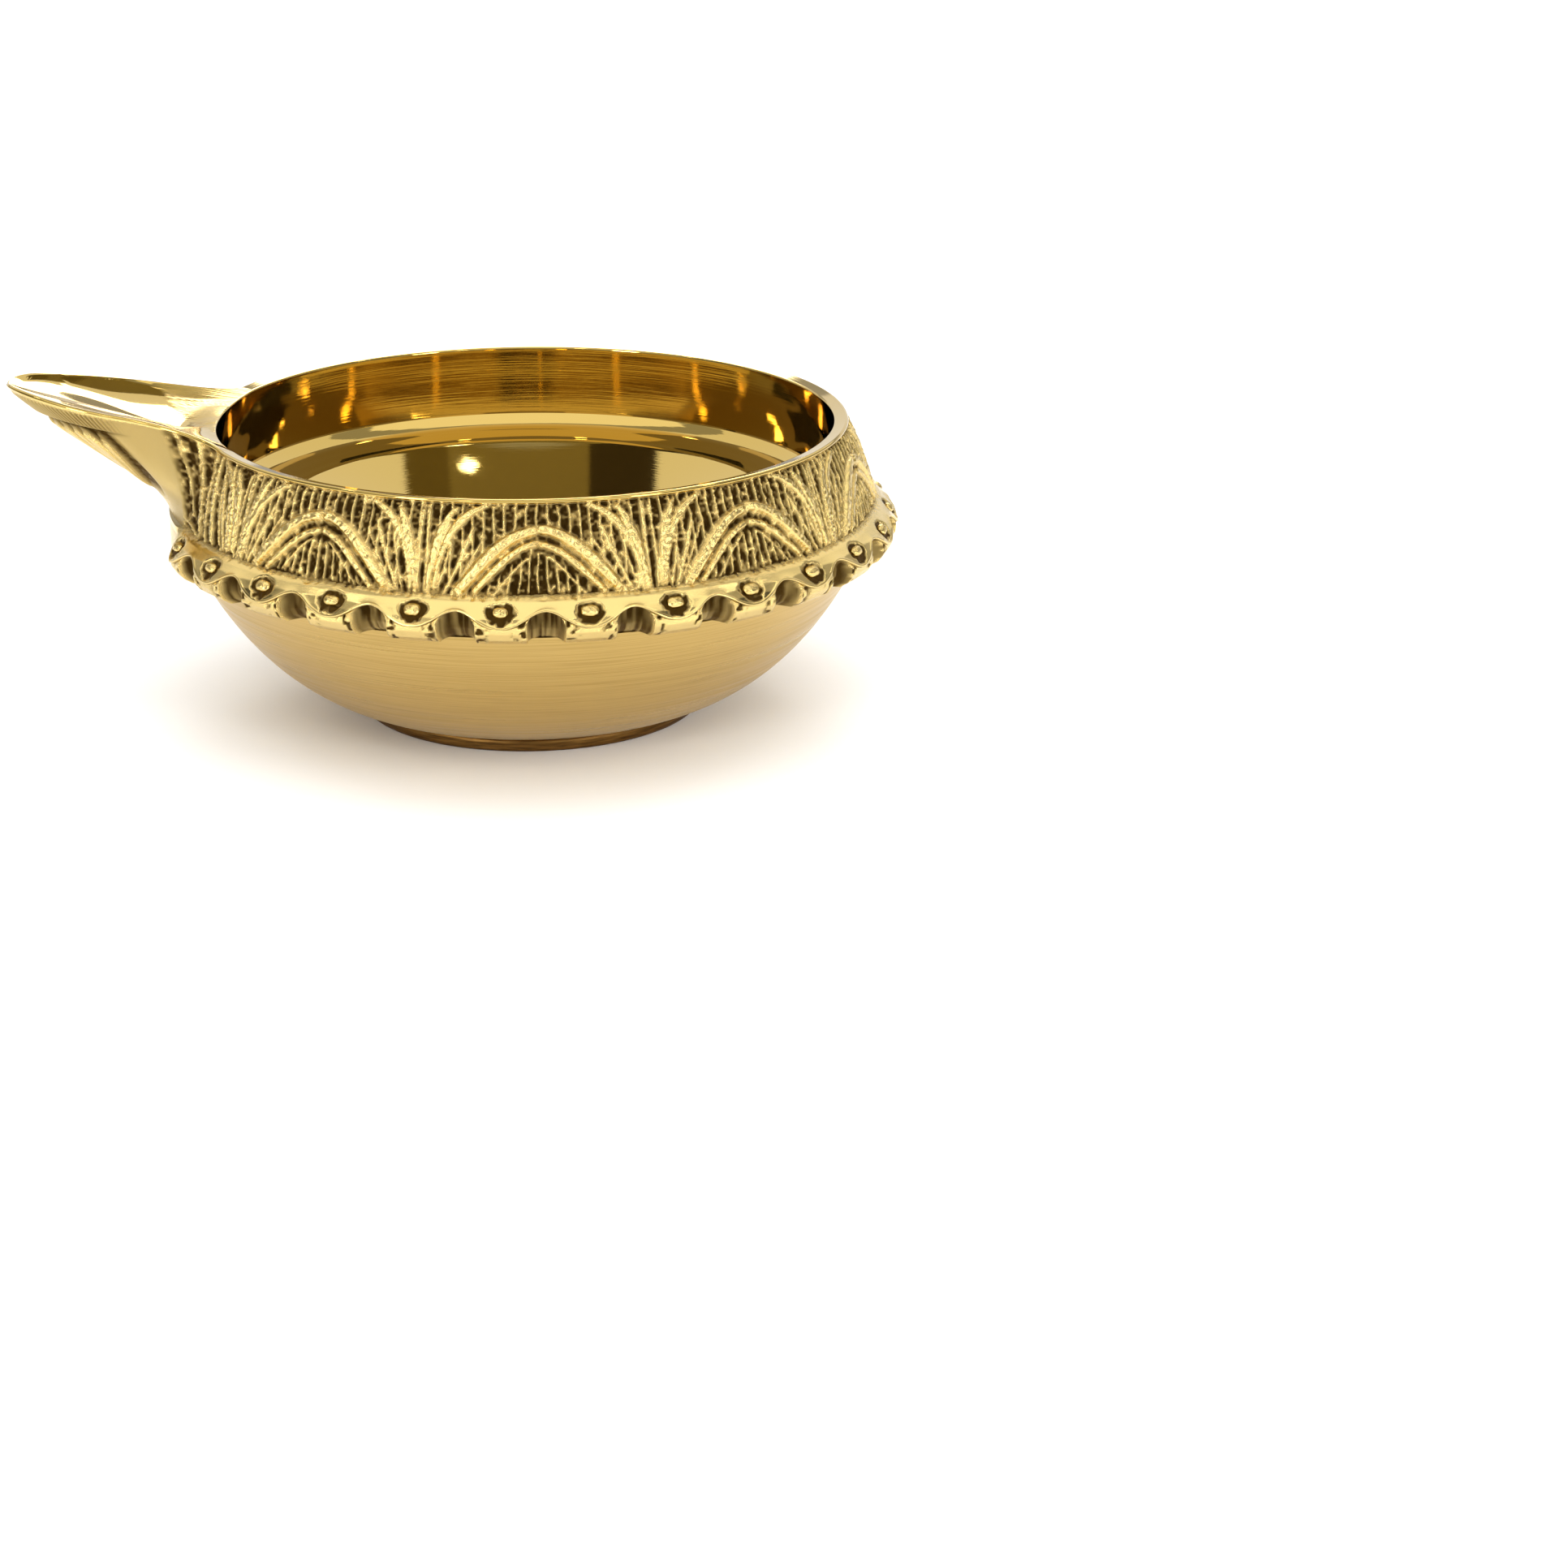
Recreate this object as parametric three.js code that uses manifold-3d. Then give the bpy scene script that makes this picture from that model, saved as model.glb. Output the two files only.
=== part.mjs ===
// Brass diya oil lamp: a turned bowl on a low foot, a fluted and beaded band, a relief
// shoulder wall with a thin rim, and a leaf-shaped wick spout. Millimetres, Z up.
// The origin is the centre of the foot's underside. The spout points along -X.
import * as THREE from "three";
import { mergeVertices } from "three/addons/utils/BufferGeometryUtils.js";
import Module from "manifold-3d";

const wasm = await Module();
wasm.setup();

// Clearance between a piece and the neighbour it is fitted around.
const FIT_GAP = 0.3;
const TURNED_SEGMENTS = 72;
const MERGE_DISTANCE = 1e-4;

// Foot: a low disc turned on the underside of the bowl.
const FOOT_RADIUS = 16.35;
const FOOT_HEIGHT = 1.4;
const FOOT_EDGE_ROUND = 0.35;

// Turned bowl, outside: a Bezier curve from the foot up to the seam under the band.
const SEAM_Z = 16.1;
const BOWL_TOP_RADIUS = 31.8;
const BOWL_FOOT_HANDLE = [24.2, 3.0];
const BOWL_TOP_HANDLE = [29.4, 10.6];
const BOWL_CURVE_STEPS = 11;
const SPIGOT_RADIUS = 30.2;

// Oil well: a shallow dish with a turned step where it meets the wall.
const WELL_CENTRE_Z = 12.8;
const WELL_EDGE_RADIUS = 23.9;
const WELL_EDGE_Z = 19.2;
const WELL_STEP_RADIUS = 26.6;
const WELL_STEP_Z = 19.8;
const WELL_WALL_RADIUS = 28.3;
const WELL_TOP_Z = 21.05;
const WELL_THICKNESS = 1.6;
const WELL_CURVE_STEPS = 7;

// Shoulder wall: leans in towards the rim outside, and is undercut inside.
const WALL_BASE_RADIUS = 32.45;
const WALL_MIDDLE_RADIUS = 31.5;
const WALL_MIDDLE_Z = 24.2;
const WALL_TOP_RADIUS = 30.7;
const WALL_TOP_Z = 26.4;

// Rim lip: the thin polished land round the mouth, sloping in a little.
const MOUTH_RADIUS = 28.77;
const MOUTH_EDGE_Z = 27.47;
const RIM_RADIUS = 30.15;
const RIM_EDGE_Z = 27.55;
const RIM_ROUND = 0.28;
const MOUTH_ROUND = 0.18;

// Band: a flange between the seam and the wall, with a flute between every two lobes.
const FLUTE_COUNT = 28;
const FLUTE_PITCH = (2 * Math.PI) / FLUTE_COUNT;
const FIRST_FLUTE = THREE.MathUtils.degToRad(2.0);
const FLUTE_HALF_ANGLE = THREE.MathUtils.degToRad(2.7);
const FLUTE_DEPTH = 1.9;
// Rings of the band either side of a flute's middle, in flute half widths.
const FLUTE_STATIONS = [1.5, 1, 0.85, 0.5];
const BAND_BOTTOM_RADIUS = 33.5;
const LOBE_RADIUS = 34.8;
const LOBE_FACE_Z = 17.2;
const LOBE_EDGE_Z = 17.9;
const FLUTE_EDGE_RADIUS = 34.05;
const FLUTE_EDGE_Z = 19.25;
const LIP_HEIGHT = 0.4;
const LOBE_RIBBON = [34.3, 18.95];
const FLUTE_RIBBON = [33.7, 19.55];
const RIBBON_INNER = [33.3, 19.85];
const BAND_TOP_Z = 20.3;
const NECK_BAND_RADIUS = 33.5;
const NECK_BAND_EDGE_Z = 19.6;
const NECK_RIBBON = [33.15, 19.85];
const NECK_RIBBON_INNER = [32.8, 20.1];
const NECK_HALF_ANGLE = THREE.MathUtils.degToRad(21.5);
const NECK_FADE_ANGLE = THREE.MathUtils.degToRad(6);
const SPOUT_AZIMUTH = -Math.PI / 2;

// Beads: an oblong dome on each lobe.
const BEAD_SEGMENTS = 8;
const BEAD_RINGS = 6;
const BEAD_HALF_SIZES = [0.76, 0.52, 0.42];
const BEAD_RADIUS_OUT = 34.03;
const BEAD_Z = 19.0;
const BEAD_TILT = THREE.MathUtils.degToRad(44);

// Wick spout: stations from the tip back to the bowl, along -X.
const SPOUT_STATIONS = [
  { x: -47.8, halfWidth: 0.6, edgeZ: 31.4, keelZ: 31.1, dish: 0.05 },
  { x: -47.0, halfWidth: 2.5, edgeZ: 31.5, keelZ: 30.6, dish: 0.3 },
  { x: -46.0, halfWidth: 3.8, edgeZ: 31.35, keelZ: 29.8, dish: 0.6 },
  { x: -44.5, halfWidth: 4.85, edgeZ: 31.15, keelZ: 28.55, dish: 0.9 },
  { x: -43.0, halfWidth: 5.75, edgeZ: 30.9, keelZ: 27.4, dish: 1.1 },
  { x: -41.0, halfWidth: 6.55, edgeZ: 30.5, keelZ: 25.9, dish: 1.3 },
  { x: -39.0, halfWidth: 6.95, edgeZ: 30.15, keelZ: 24.75, dish: 1.3 },
  { x: -37.0, halfWidth: 7.45, edgeZ: 29.85, keelZ: 23.6, dish: 1.2 },
  { x: -35.0, halfWidth: 7.95, edgeZ: 29.5, keelZ: 22.0, dish: 1.0 },
  { x: -34.0, halfWidth: 8.15, edgeZ: 29.35, keelZ: 20.6, dish: 0.9 },
  { x: -33.4, halfWidth: 8.3, edgeZ: 29.25, keelZ: 19.4, dish: 0.8 },
  { x: -31.0, halfWidth: 9.15, edgeZ: 28.85, keelZ: 19.4, dish: 0.6 },
  { x: -29.5, halfWidth: 9.95, edgeZ: 28.5, keelZ: 19.4, dish: 0.5 },
  { x: -26.8, halfWidth: 11.6, edgeZ: 27.95, keelZ: 19.4, dish: 0.35 },
];
const SPOUT_ACROSS = 14;
const SPOUT_EDGE_THICKNESS = 0.7;
const SPOUT_LEAST_THICKNESS = 0.1;
const HULL_FULLNESS = 2.2;
const TRIM_RADIUS = 60;
const TRIM_BOTTOM_Z = 5;
const TRIM_TOP_Z = 40;

const part = new THREE.Group();
part.name = "diya_oil_lamp";

function brass(color, roughness) {
  return new THREE.MeshStandardMaterial({ color, roughness, metalness: 1 });
}

const mirrorBrass = brass(0xd2a75c, 0.12);
const satinBrass = brass(0xcda868, 0.35);
const castBrass = brass(0xb08d4c, 0.5);
const darkBrass = brass(0x6f5526, 0.55);

function addPiece(name, geometry, material) {
  const mesh = new THREE.Mesh(geometry, material);
  mesh.name = name;
  part.add(mesh);
}

// Turns a profile of [radius, z] points round the Z axis, closing it if it stays off the axis.
function turned(profile) {
  const points = profile.map(([radius, z]) => new THREE.Vector2(radius, z));
  if (profile[0][0] > 0) points.push(points[0].clone());
  const geometry = new THREE.LatheGeometry(points, TURNED_SEGMENTS);
  geometry.rotateX(Math.PI / 2);
  return geometry;
}

function solidFrom(geometry) {
  const bare = new THREE.BufferGeometry();
  bare.setAttribute("position", geometry.getAttribute("position"));
  bare.setIndex(geometry.index);
  const merged = mergeVertices(bare, MERGE_DISTANCE);
  const mesh = new wasm.Mesh({
    numProp: 3,
    vertProperties: merged.attributes.position.array,
    triVerts: new Uint32Array(merged.index.array),
  });
  return new wasm.Manifold(mesh);
}

function geometryFrom(solid) {
  const mesh = solid.getMesh();
  const geometry = new THREE.BufferGeometry();
  geometry.setAttribute("position", new THREE.BufferAttribute(mesh.vertProperties, 3));
  geometry.setIndex(new THREE.BufferAttribute(mesh.triVerts, 1));
  geometry.computeVertexNormals();
  return geometry;
}

// Closed surface through equal-length rings of points: a tube, or with caps a loft.
function surfaceThroughRings(rings, { closeRound, capAcross }) {
  const count = rings[0].length;
  const indices = [];
  const quad = (a, b, c, d) => indices.push(a, b, c, a, c, d);
  const last = closeRound ? rings.length : rings.length - 1;
  for (let i = 0; i < last; i += 1) {
    const here = i * count;
    const next = ((i + 1) % rings.length) * count;
    for (let j = 0; j < count; j += 1) {
      const k = (j + 1) % count;
      quad(here + j, next + j, next + k, here + k);
    }
  }
  if (capAcross) {
    const end = (rings.length - 1) * count;
    for (let j = 0; j < capAcross; j += 1) {
      const opposite = count - 1 - j;
      quad(j, j + 1, opposite - 1, opposite);
      quad(end + opposite, end + opposite - 1, end + j + 1, end + j);
    }
  }
  const geometry = new THREE.BufferGeometry();
  geometry.setAttribute("position", new THREE.Float32BufferAttribute(rings.flat(2), 3));
  geometry.setIndex(indices);
  geometry.computeVertexNormals();
  return geometry;
}

function polar(radius, azimuth, z) {
  return [radius * Math.sin(azimuth), -radius * Math.cos(azimuth), z];
}

function buildFoot() {
  const round = FOOT_EDGE_ROUND;
  return turned([
    [0, 0],
    [FOOT_RADIUS - round, 0],
    [FOOT_RADIUS, round],
    [FOOT_RADIUS, FOOT_HEIGHT],
    [0, FOOT_HEIGHT],
  ]);
}

// Points of the well's dish from its edge to the axis, lowered by the given amount.
function dishPoints(lowered) {
  return Array.from({ length: WELL_CURVE_STEPS + 1 }, (_, i) => {
    const radius = WELL_EDGE_RADIUS * (1 - i / WELL_CURVE_STEPS);
    const rise = (radius / WELL_EDGE_RADIUS) ** 2;
    return [radius, WELL_CENTRE_Z + (WELL_EDGE_Z - WELL_CENTRE_Z) * rise - lowered];
  });
}

function buildTurnedBowl() {
  const curve = new THREE.CubicBezierCurve(
    new THREE.Vector2(FOOT_RADIUS, FOOT_HEIGHT),
    new THREE.Vector2(...BOWL_FOOT_HANDLE),
    new THREE.Vector2(...BOWL_TOP_HANDLE),
    new THREE.Vector2(BOWL_TOP_RADIUS, SEAM_Z),
  );
  const outside = curve.getPoints(BOWL_CURVE_STEPS).map((p) => [p.x, p.y]);
  return turned([
    [0, FOOT_HEIGHT],
    ...outside,
    [SPIGOT_RADIUS, SEAM_Z],
    [SPIGOT_RADIUS, WELL_STEP_Z - WELL_THICKNESS],
    ...dishPoints(WELL_THICKNESS),
  ]);
}

function buildOilWell() {
  const underside = dishPoints(WELL_THICKNESS).reverse();
  return turned([
    ...underside,
    [SPIGOT_RADIUS, WELL_STEP_Z - WELL_THICKNESS],
    [SPIGOT_RADIUS, WELL_TOP_Z],
    [WELL_WALL_RADIUS, WELL_TOP_Z],
    [WELL_STEP_RADIUS, WELL_STEP_Z],
    ...dishPoints(0),
  ]);
}

function neckShare(azimuth) {
  const away = Math.abs(azimuth - SPOUT_AZIMUTH);
  const round = Math.min(away, 2 * Math.PI - away);
  return 1 - THREE.MathUtils.smoothstep(
    round,
    NECK_HALF_ANGLE - NECK_FADE_ANGLE,
    NECK_HALF_ANGLE,
  );
}

// Blends a value of the band from its lobes to its flutes, and from both to the neck.
function bandBlend(atLobe, atFlute, atNeck, wave, neck) {
  return THREE.MathUtils.lerp(THREE.MathUtils.lerp(atLobe, atFlute, wave), atNeck, neck);
}

// Ring of the band's section at one azimuth, with the flute cut into its face.
function bandRing(azimuth) {
  const turn = (azimuth - FIRST_FLUTE) / FLUTE_PITCH;
  const offset = Math.abs(turn - Math.round(turn)) * FLUTE_PITCH;
  const across = Math.min(offset / FLUTE_HALF_ANGLE, 1);
  const wave = (1 + Math.cos(turn * 2 * Math.PI)) / 2;
  const neck = neckShare(azimuth);
  const inwards = FLUTE_DEPTH * (1 - neck) * Math.sqrt(1 - across * across);
  const blend = (atLobe, atFlute, atNeck) => bandBlend(atLobe, atFlute, atNeck, wave, neck);
  const blendPoint = (atLobe, atFlute, atNeck) => polar(
    blend(atLobe[0], atFlute[0], atNeck[0]),
    azimuth,
    blend(atLobe[1], atFlute[1], atNeck[1]),
  );
  const faceRadius = blend(LOBE_RADIUS, LOBE_RADIUS, NECK_BAND_RADIUS);
  const edgeRadius = blend(LOBE_RADIUS, FLUTE_EDGE_RADIUS, NECK_BAND_RADIUS);
  const edgeZ = blend(LOBE_EDGE_Z, FLUTE_EDGE_Z, NECK_BAND_EDGE_Z);
  return [
    polar(SPIGOT_RADIUS + FIT_GAP, azimuth, BAND_TOP_Z),
    polar(SPIGOT_RADIUS + FIT_GAP, azimuth, SEAM_Z),
    polar(BAND_BOTTOM_RADIUS - inwards, azimuth, SEAM_Z),
    polar(faceRadius - inwards, azimuth, LOBE_FACE_Z),
    polar(edgeRadius - inwards, azimuth, edgeZ - LIP_HEIGHT),
    polar(edgeRadius, azimuth, edgeZ),
    blendPoint(LOBE_RIBBON, FLUTE_RIBBON, NECK_RIBBON),
    blendPoint(RIBBON_INNER, RIBBON_INNER, NECK_RIBBON_INNER),
    polar(WALL_BASE_RADIUS, azimuth, BAND_TOP_Z),
  ];
}

function buildBand() {
  const shares = FLUTE_STATIONS.map((station) => (station * FLUTE_HALF_ANGLE) / FLUTE_PITCH);
  const before = shares.map((share) => -share);
  const pitchSteps = [-0.5, ...before, 0, ...shares.reverse()];
  const rings = [];
  for (let i = 0; i < FLUTE_COUNT; i += 1) {
    rings.push(...pitchSteps.map((step) => bandRing(FIRST_FLUTE + (i + step) * FLUTE_PITCH - Math.PI)));
  }
  return surfaceThroughRings(rings, { closeRound: true });
}

// Oblong domes unioned onto the lobes that stand clear of the neck.
function buildBeadedBand() {
  let solid = solidFrom(buildBand());
  for (let i = 0; i < FLUTE_COUNT; i += 1) {
    const azimuth = FIRST_FLUTE + (i + 0.5) * FLUTE_PITCH - Math.PI;
    if (neckShare(azimuth) > 0) continue;
    const bead = new THREE.SphereGeometry(1, BEAD_SEGMENTS, BEAD_RINGS);
    bead.scale(...BEAD_HALF_SIZES);
    bead.rotateX(BEAD_TILT);
    bead.rotateZ(azimuth);
    bead.translate(...polar(BEAD_RADIUS_OUT, azimuth, BEAD_Z));
    solid = solid.add(solidFrom(bead));
  }
  return geometryFrom(solid);
}

// Wall that the band carries: outside leaning in, inside undercut below the rim.
function buildReliefWall() {
  return turned([
    [SPIGOT_RADIUS + FIT_GAP, BAND_TOP_Z],
    [WALL_BASE_RADIUS, BAND_TOP_Z],
    [WALL_MIDDLE_RADIUS, WALL_MIDDLE_Z],
    [WALL_TOP_RADIUS, WALL_TOP_Z],
    [MOUTH_RADIUS, WALL_TOP_Z],
    [WELL_WALL_RADIUS, WELL_TOP_Z],
    [SPIGOT_RADIUS + FIT_GAP, WELL_TOP_Z],
  ]);
}

// Section of the spout at one station: the dished top, then the hull underneath.
function spoutSection({ x, halfWidth, edgeZ, keelZ, dish }) {
  const across = Array.from({ length: SPOUT_ACROSS + 1 }, (_, j) => {
    return -Math.cos((Math.PI * j) / SPOUT_ACROSS);
  });
  const edgeBottom = Math.max(edgeZ - SPOUT_EDGE_THICKNESS, keelZ + SPOUT_LEAST_THICKNESS);
  const top = across.map((s) => [x, s * halfWidth, edgeZ - dish * (1 - s * s)]);
  const bottom = across.map((s) => {
    const drop = (1 - Math.abs(s) ** HULL_FULLNESS) ** (1 / HULL_FULLNESS);
    return [x, s * halfWidth, edgeBottom - (edgeBottom - keelZ) * drop];
  });
  return [...top, ...bottom.reverse()];
}

function loftThrough(stations) {
  const rings = stations.map(spoutSection);
  return solidFrom(surfaceThroughRings(rings, { capAcross: SPOUT_ACROSS }));
}

// The spout stands on the band, hugs the wall and opens into the mouth.
function buildWickSpout() {
  const around = turned([
    [0, TRIM_BOTTOM_Z],
    [TRIM_RADIUS, TRIM_BOTTOM_Z],
    [TRIM_RADIUS, BAND_TOP_Z],
    [WALL_BASE_RADIUS + FIT_GAP, BAND_TOP_Z],
    [WALL_MIDDLE_RADIUS + FIT_GAP, WALL_MIDDLE_Z],
    [WALL_TOP_RADIUS + FIT_GAP, WALL_TOP_Z],
    [MOUTH_RADIUS, WALL_TOP_Z],
    [MOUTH_RADIUS, TRIM_TOP_Z],
    [0, TRIM_TOP_Z],
  ]);
  return geometryFrom(loftThrough(SPOUT_STATIONS).subtract(solidFrom(around)));
}

// Thin land round the mouth, open where the spout runs into the bowl.
function buildRimLip() {
  const ring = turned([
    [MOUTH_RADIUS, WALL_TOP_Z],
    [WALL_TOP_RADIUS, WALL_TOP_Z],
    [RIM_RADIUS, RIM_EDGE_Z],
    [RIM_RADIUS - RIM_ROUND, RIM_EDGE_Z + RIM_ROUND],
    [MOUTH_RADIUS + MOUTH_ROUND, MOUTH_EDGE_Z + MOUTH_ROUND],
    [MOUTH_RADIUS, MOUTH_EDGE_Z],
  ]);
  const opening = SPOUT_STATIONS.map((station) => ({
    ...station,
    halfWidth: station.halfWidth + 2 * FIT_GAP,
    edgeZ: TRIM_TOP_Z,
    keelZ: -TRIM_TOP_Z,
  }));
  return geometryFrom(solidFrom(ring).subtract(loftThrough(opening)));
}

addPiece("foot_disc", buildFoot(), darkBrass);
addPiece("turned_bowl", buildTurnedBowl(), satinBrass);
addPiece("oil_well", buildOilWell(), mirrorBrass);
addPiece("scalloped_band", buildBeadedBand(), castBrass);
addPiece("relief_wall", buildReliefWall(), castBrass);
addPiece("rim_lip", buildRimLip(), mirrorBrass);
addPiece("wick_spout", buildWickSpout(), mirrorBrass);

export default part;
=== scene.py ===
"""Brass diya oil lamp: detailed surfaces, finishes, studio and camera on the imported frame."""

import logging
import math
from dataclasses import dataclass, field
from enum import Enum

import bpy
import numpy as np
from mathutils import Matrix, Vector


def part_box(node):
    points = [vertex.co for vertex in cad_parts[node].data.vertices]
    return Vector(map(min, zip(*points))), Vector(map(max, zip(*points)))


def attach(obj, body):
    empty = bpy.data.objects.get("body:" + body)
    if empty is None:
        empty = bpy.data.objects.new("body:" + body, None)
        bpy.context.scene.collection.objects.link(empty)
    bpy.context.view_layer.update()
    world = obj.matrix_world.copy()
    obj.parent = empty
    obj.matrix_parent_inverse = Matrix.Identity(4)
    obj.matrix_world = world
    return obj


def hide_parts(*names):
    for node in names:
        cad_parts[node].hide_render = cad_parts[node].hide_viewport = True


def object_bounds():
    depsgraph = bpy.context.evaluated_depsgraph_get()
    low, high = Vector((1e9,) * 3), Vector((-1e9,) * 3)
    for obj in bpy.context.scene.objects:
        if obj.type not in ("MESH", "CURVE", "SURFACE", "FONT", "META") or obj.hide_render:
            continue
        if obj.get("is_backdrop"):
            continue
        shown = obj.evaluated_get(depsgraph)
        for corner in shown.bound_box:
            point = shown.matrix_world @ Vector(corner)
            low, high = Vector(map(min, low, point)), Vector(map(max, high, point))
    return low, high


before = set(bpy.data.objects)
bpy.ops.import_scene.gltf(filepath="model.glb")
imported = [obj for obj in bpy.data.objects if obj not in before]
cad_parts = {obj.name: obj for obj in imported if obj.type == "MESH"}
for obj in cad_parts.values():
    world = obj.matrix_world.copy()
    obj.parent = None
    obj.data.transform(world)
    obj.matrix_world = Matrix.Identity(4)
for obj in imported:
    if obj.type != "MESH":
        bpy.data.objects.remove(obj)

MM = 0.001
ROOT = "root"
SPOUT_AZIMUTH = -90.0
FLUTE_COUNT = 28
FLUTE_PITCH = 360.0 / FLUTE_COUNT
MOTIF_COUNT = 10
MOTIF_PITCH = 360.0 / MOTIF_COUNT
RELIEF = "relief"

log = logging.getLogger("diya")


class Slot(Enum):
    """The record's material slots."""

    SATIN = "satin_turned_brass"
    FOOT = "dark_foot_brass"
    MIRROR = "mirror_brass"
    RELIEF = "cast_relief_brass"


# ---------------------------------------------------------------- numbers


def linear_rgb(code: str) -> tuple[float, float, float, float]:
    """Turns an sRGB hex colour into linear light.

    Args:
        code: Six hex digits, such as "d9b066".

    Returns:
        Red, green, blue and an alpha of one.
    """
    parts = [int(code[i : i + 2], 16) / 255 for i in (0, 2, 4)]
    linear = [c / 12.92 if c <= 0.04045 else ((c + 0.055) / 1.055) ** 2.4 for c in parts]
    return (*linear, 1.0)


def smooth(low: float, high: float, value: np.ndarray) -> np.ndarray:
    """Rises smoothly from 0 at low to 1 at high.

    Args:
        low: Where the rise starts.
        high: Where the rise ends.
        value: The values to look up.

    Returns:
        The eased share for each value.
    """
    share = np.clip((value - low) / (high - low), 0.0, 1.0)
    return share * share * (3.0 - 2.0 * share)


def mix(low: np.ndarray, high: np.ndarray, share: np.ndarray) -> np.ndarray:
    """Blends low into high by share."""
    return low + (high - low) * share


def bezier(points: list[np.ndarray], t: np.ndarray) -> np.ndarray:
    """Evaluates a Bezier curve of any order.

    Args:
        points: Control points, as arrays that broadcast with t.
        t: Curve parameters from 0 to 1.

    Returns:
        The curve's points.
    """
    order = len(points) - 1
    total = 0.0
    for i, point in enumerate(points):
        weight = math.comb(order, i) * (1 - t) ** (order - i) * t**i
        total = total + weight * point
    return total


def polar(radius: np.ndarray, azimuth: np.ndarray, z: np.ndarray) -> np.ndarray:
    """Places points round the bowl's axis.

    Args:
        radius: Distance from the axis in millimetres.
        azimuth: Degrees from the front (-Y), positive towards +X.
        z: Height in millimetres.

    Returns:
        Points with x, y and z along the last dimension.
    """
    angle = np.radians(azimuth)
    radius, angle, z = np.broadcast_arrays(radius, angle, z)
    return np.stack([radius * np.sin(angle), -radius * np.cos(angle), z], axis=-1)


def grid_normals(points: np.ndarray) -> np.ndarray:
    """Finds smooth normals of a grid that closes on itself along its columns.

    Args:
        points: Rows by columns by three.

    Returns:
        Unit normals of the same shape, facing the side that is left of the columns' run.
    """
    along = np.roll(points, -1, axis=1) - np.roll(points, 1, axis=1)
    across = np.gradient(points, axis=0)
    normals = np.cross(along, across)
    length = np.linalg.norm(normals, axis=-1, keepdims=True)
    return normals / np.maximum(length, 1e-9)


class Grain:
    """Smooth random grain on a sheet that wraps round the lamp."""

    def __init__(self, seed: int, spacing: float, wrap: float) -> None:
        """Draws the lattice.

        Args:
            seed: Seed of the random draw.
            spacing: Distance between lattice points in millimetres.
            wrap: Distance after which the grain repeats in millimetres.
        """
        self.columns = max(4, round(wrap / spacing))
        self.spacing = wrap / self.columns
        self.lattice = np.random.default_rng(seed).uniform(-1, 1, (96, self.columns))

    def at(self, x: np.ndarray, y: np.ndarray) -> np.ndarray:
        """Looks the grain up.

        Args:
            x: Millimetres along the wrap.
            y: Millimetres across it.

        Returns:
            Values from -1 to 1.
        """
        u, v = x / self.spacing, y / self.spacing
        i, j = np.floor(u).astype(int), np.floor(v).astype(int)
        fu, fv = smooth(0, 1, u - i), smooth(0, 1, v - j)
        rows = self.lattice.shape[0]
        corner = lambda a, b: self.lattice[(j + b) % rows, (i + a) % self.columns]
        low = mix(corner(0, 0), corner(1, 0), fu)
        high = mix(corner(0, 1), corner(1, 1), fu)
        return mix(low, high, fv)


# ---------------------------------------------------------------- meshes


@dataclass
class Sheet:
    """A grid of points with its normals and its relief value, rows by columns."""

    points: np.ndarray
    normals: np.ndarray
    relief: np.ndarray

    def part(self, rows: slice, columns: np.ndarray) -> "Sheet":
        """Takes some rows and columns.

        Args:
            rows: The rows to keep.
            columns: Indices of the columns to keep.

        Returns:
            The smaller sheet.
        """
        pick = lambda a: a[rows][:, columns]
        return Sheet(pick(self.points), pick(self.normals), pick(self.relief))

    @staticmethod
    def stack(*sheets: "Sheet") -> "Sheet":
        """Joins sheets row after row."""
        join = lambda name: np.concatenate([getattr(s, name) for s in sheets])
        return Sheet(join("points"), join("normals"), join("relief"))

    @staticmethod
    def hidden(points: np.ndarray) -> "Sheet":
        """Makes rows that only close a solid, where nobody sees them."""
        return Sheet(points, np.zeros_like(points) + (0, 0, -1), np.zeros(points.shape[:2]))


def add_mesh(name: str, sheets: list[Sheet], closed: bool, patches: list[int]) -> bpy.types.Object:
    """Builds one object from closed loops of rows.

    Args:
        name: The object's name.
        sheets: Each one's last row joins its first row.
        closed: Whether the columns also close; otherwise the ends get caps.
        patches: Material index of each row of faces, or an empty list for zero.

    Returns:
        The new object, in metres.
    """
    corners, normals, relief, faces, materials = [], [], [], [], []
    start = 0
    for sheet in sheets:
        rows, columns = sheet.relief.shape
        index = np.arange(rows * columns).reshape(rows, columns) + start
        ring = np.concatenate([index, index[:1]])
        if closed:
            ring = np.concatenate([ring, ring[:, :1]], axis=1)
        quads = np.stack([ring[:-1, :-1], ring[:-1, 1:], ring[1:, 1:], ring[1:, :-1]], axis=-1)
        faces += quads.reshape(-1, 4).tolist()
        per_row = patches or [0] * rows
        materials += np.repeat(per_row, ring.shape[1] - 1).tolist()
        if not closed:
            faces += [index[:, 0].tolist(), index[::-1, -1].tolist()]
            materials += [0, 0]
        corners.append(sheet.points.reshape(-1, 3))
        normals.append(sheet.normals.reshape(-1, 3))
        relief.append(sheet.relief.ravel())
        start += rows * columns
    mesh = bpy.data.meshes.new(name)
    mesh.from_pydata((np.concatenate(corners) * MM).tolist(), [], faces)
    mesh.polygons.foreach_set("material_index", materials)
    mesh.polygons.foreach_set("use_smooth", [True] * len(faces))
    layer = mesh.attributes.new(RELIEF, "FLOAT", "POINT")
    layer.data.foreach_set("value", np.concatenate(relief).astype(np.float32))
    mesh.normals_split_custom_set_from_vertices(np.concatenate(normals).tolist())
    mesh.update()
    piece = bpy.data.objects.new(name, mesh)
    bpy.context.scene.collection.objects.link(piece)
    return piece


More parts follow.
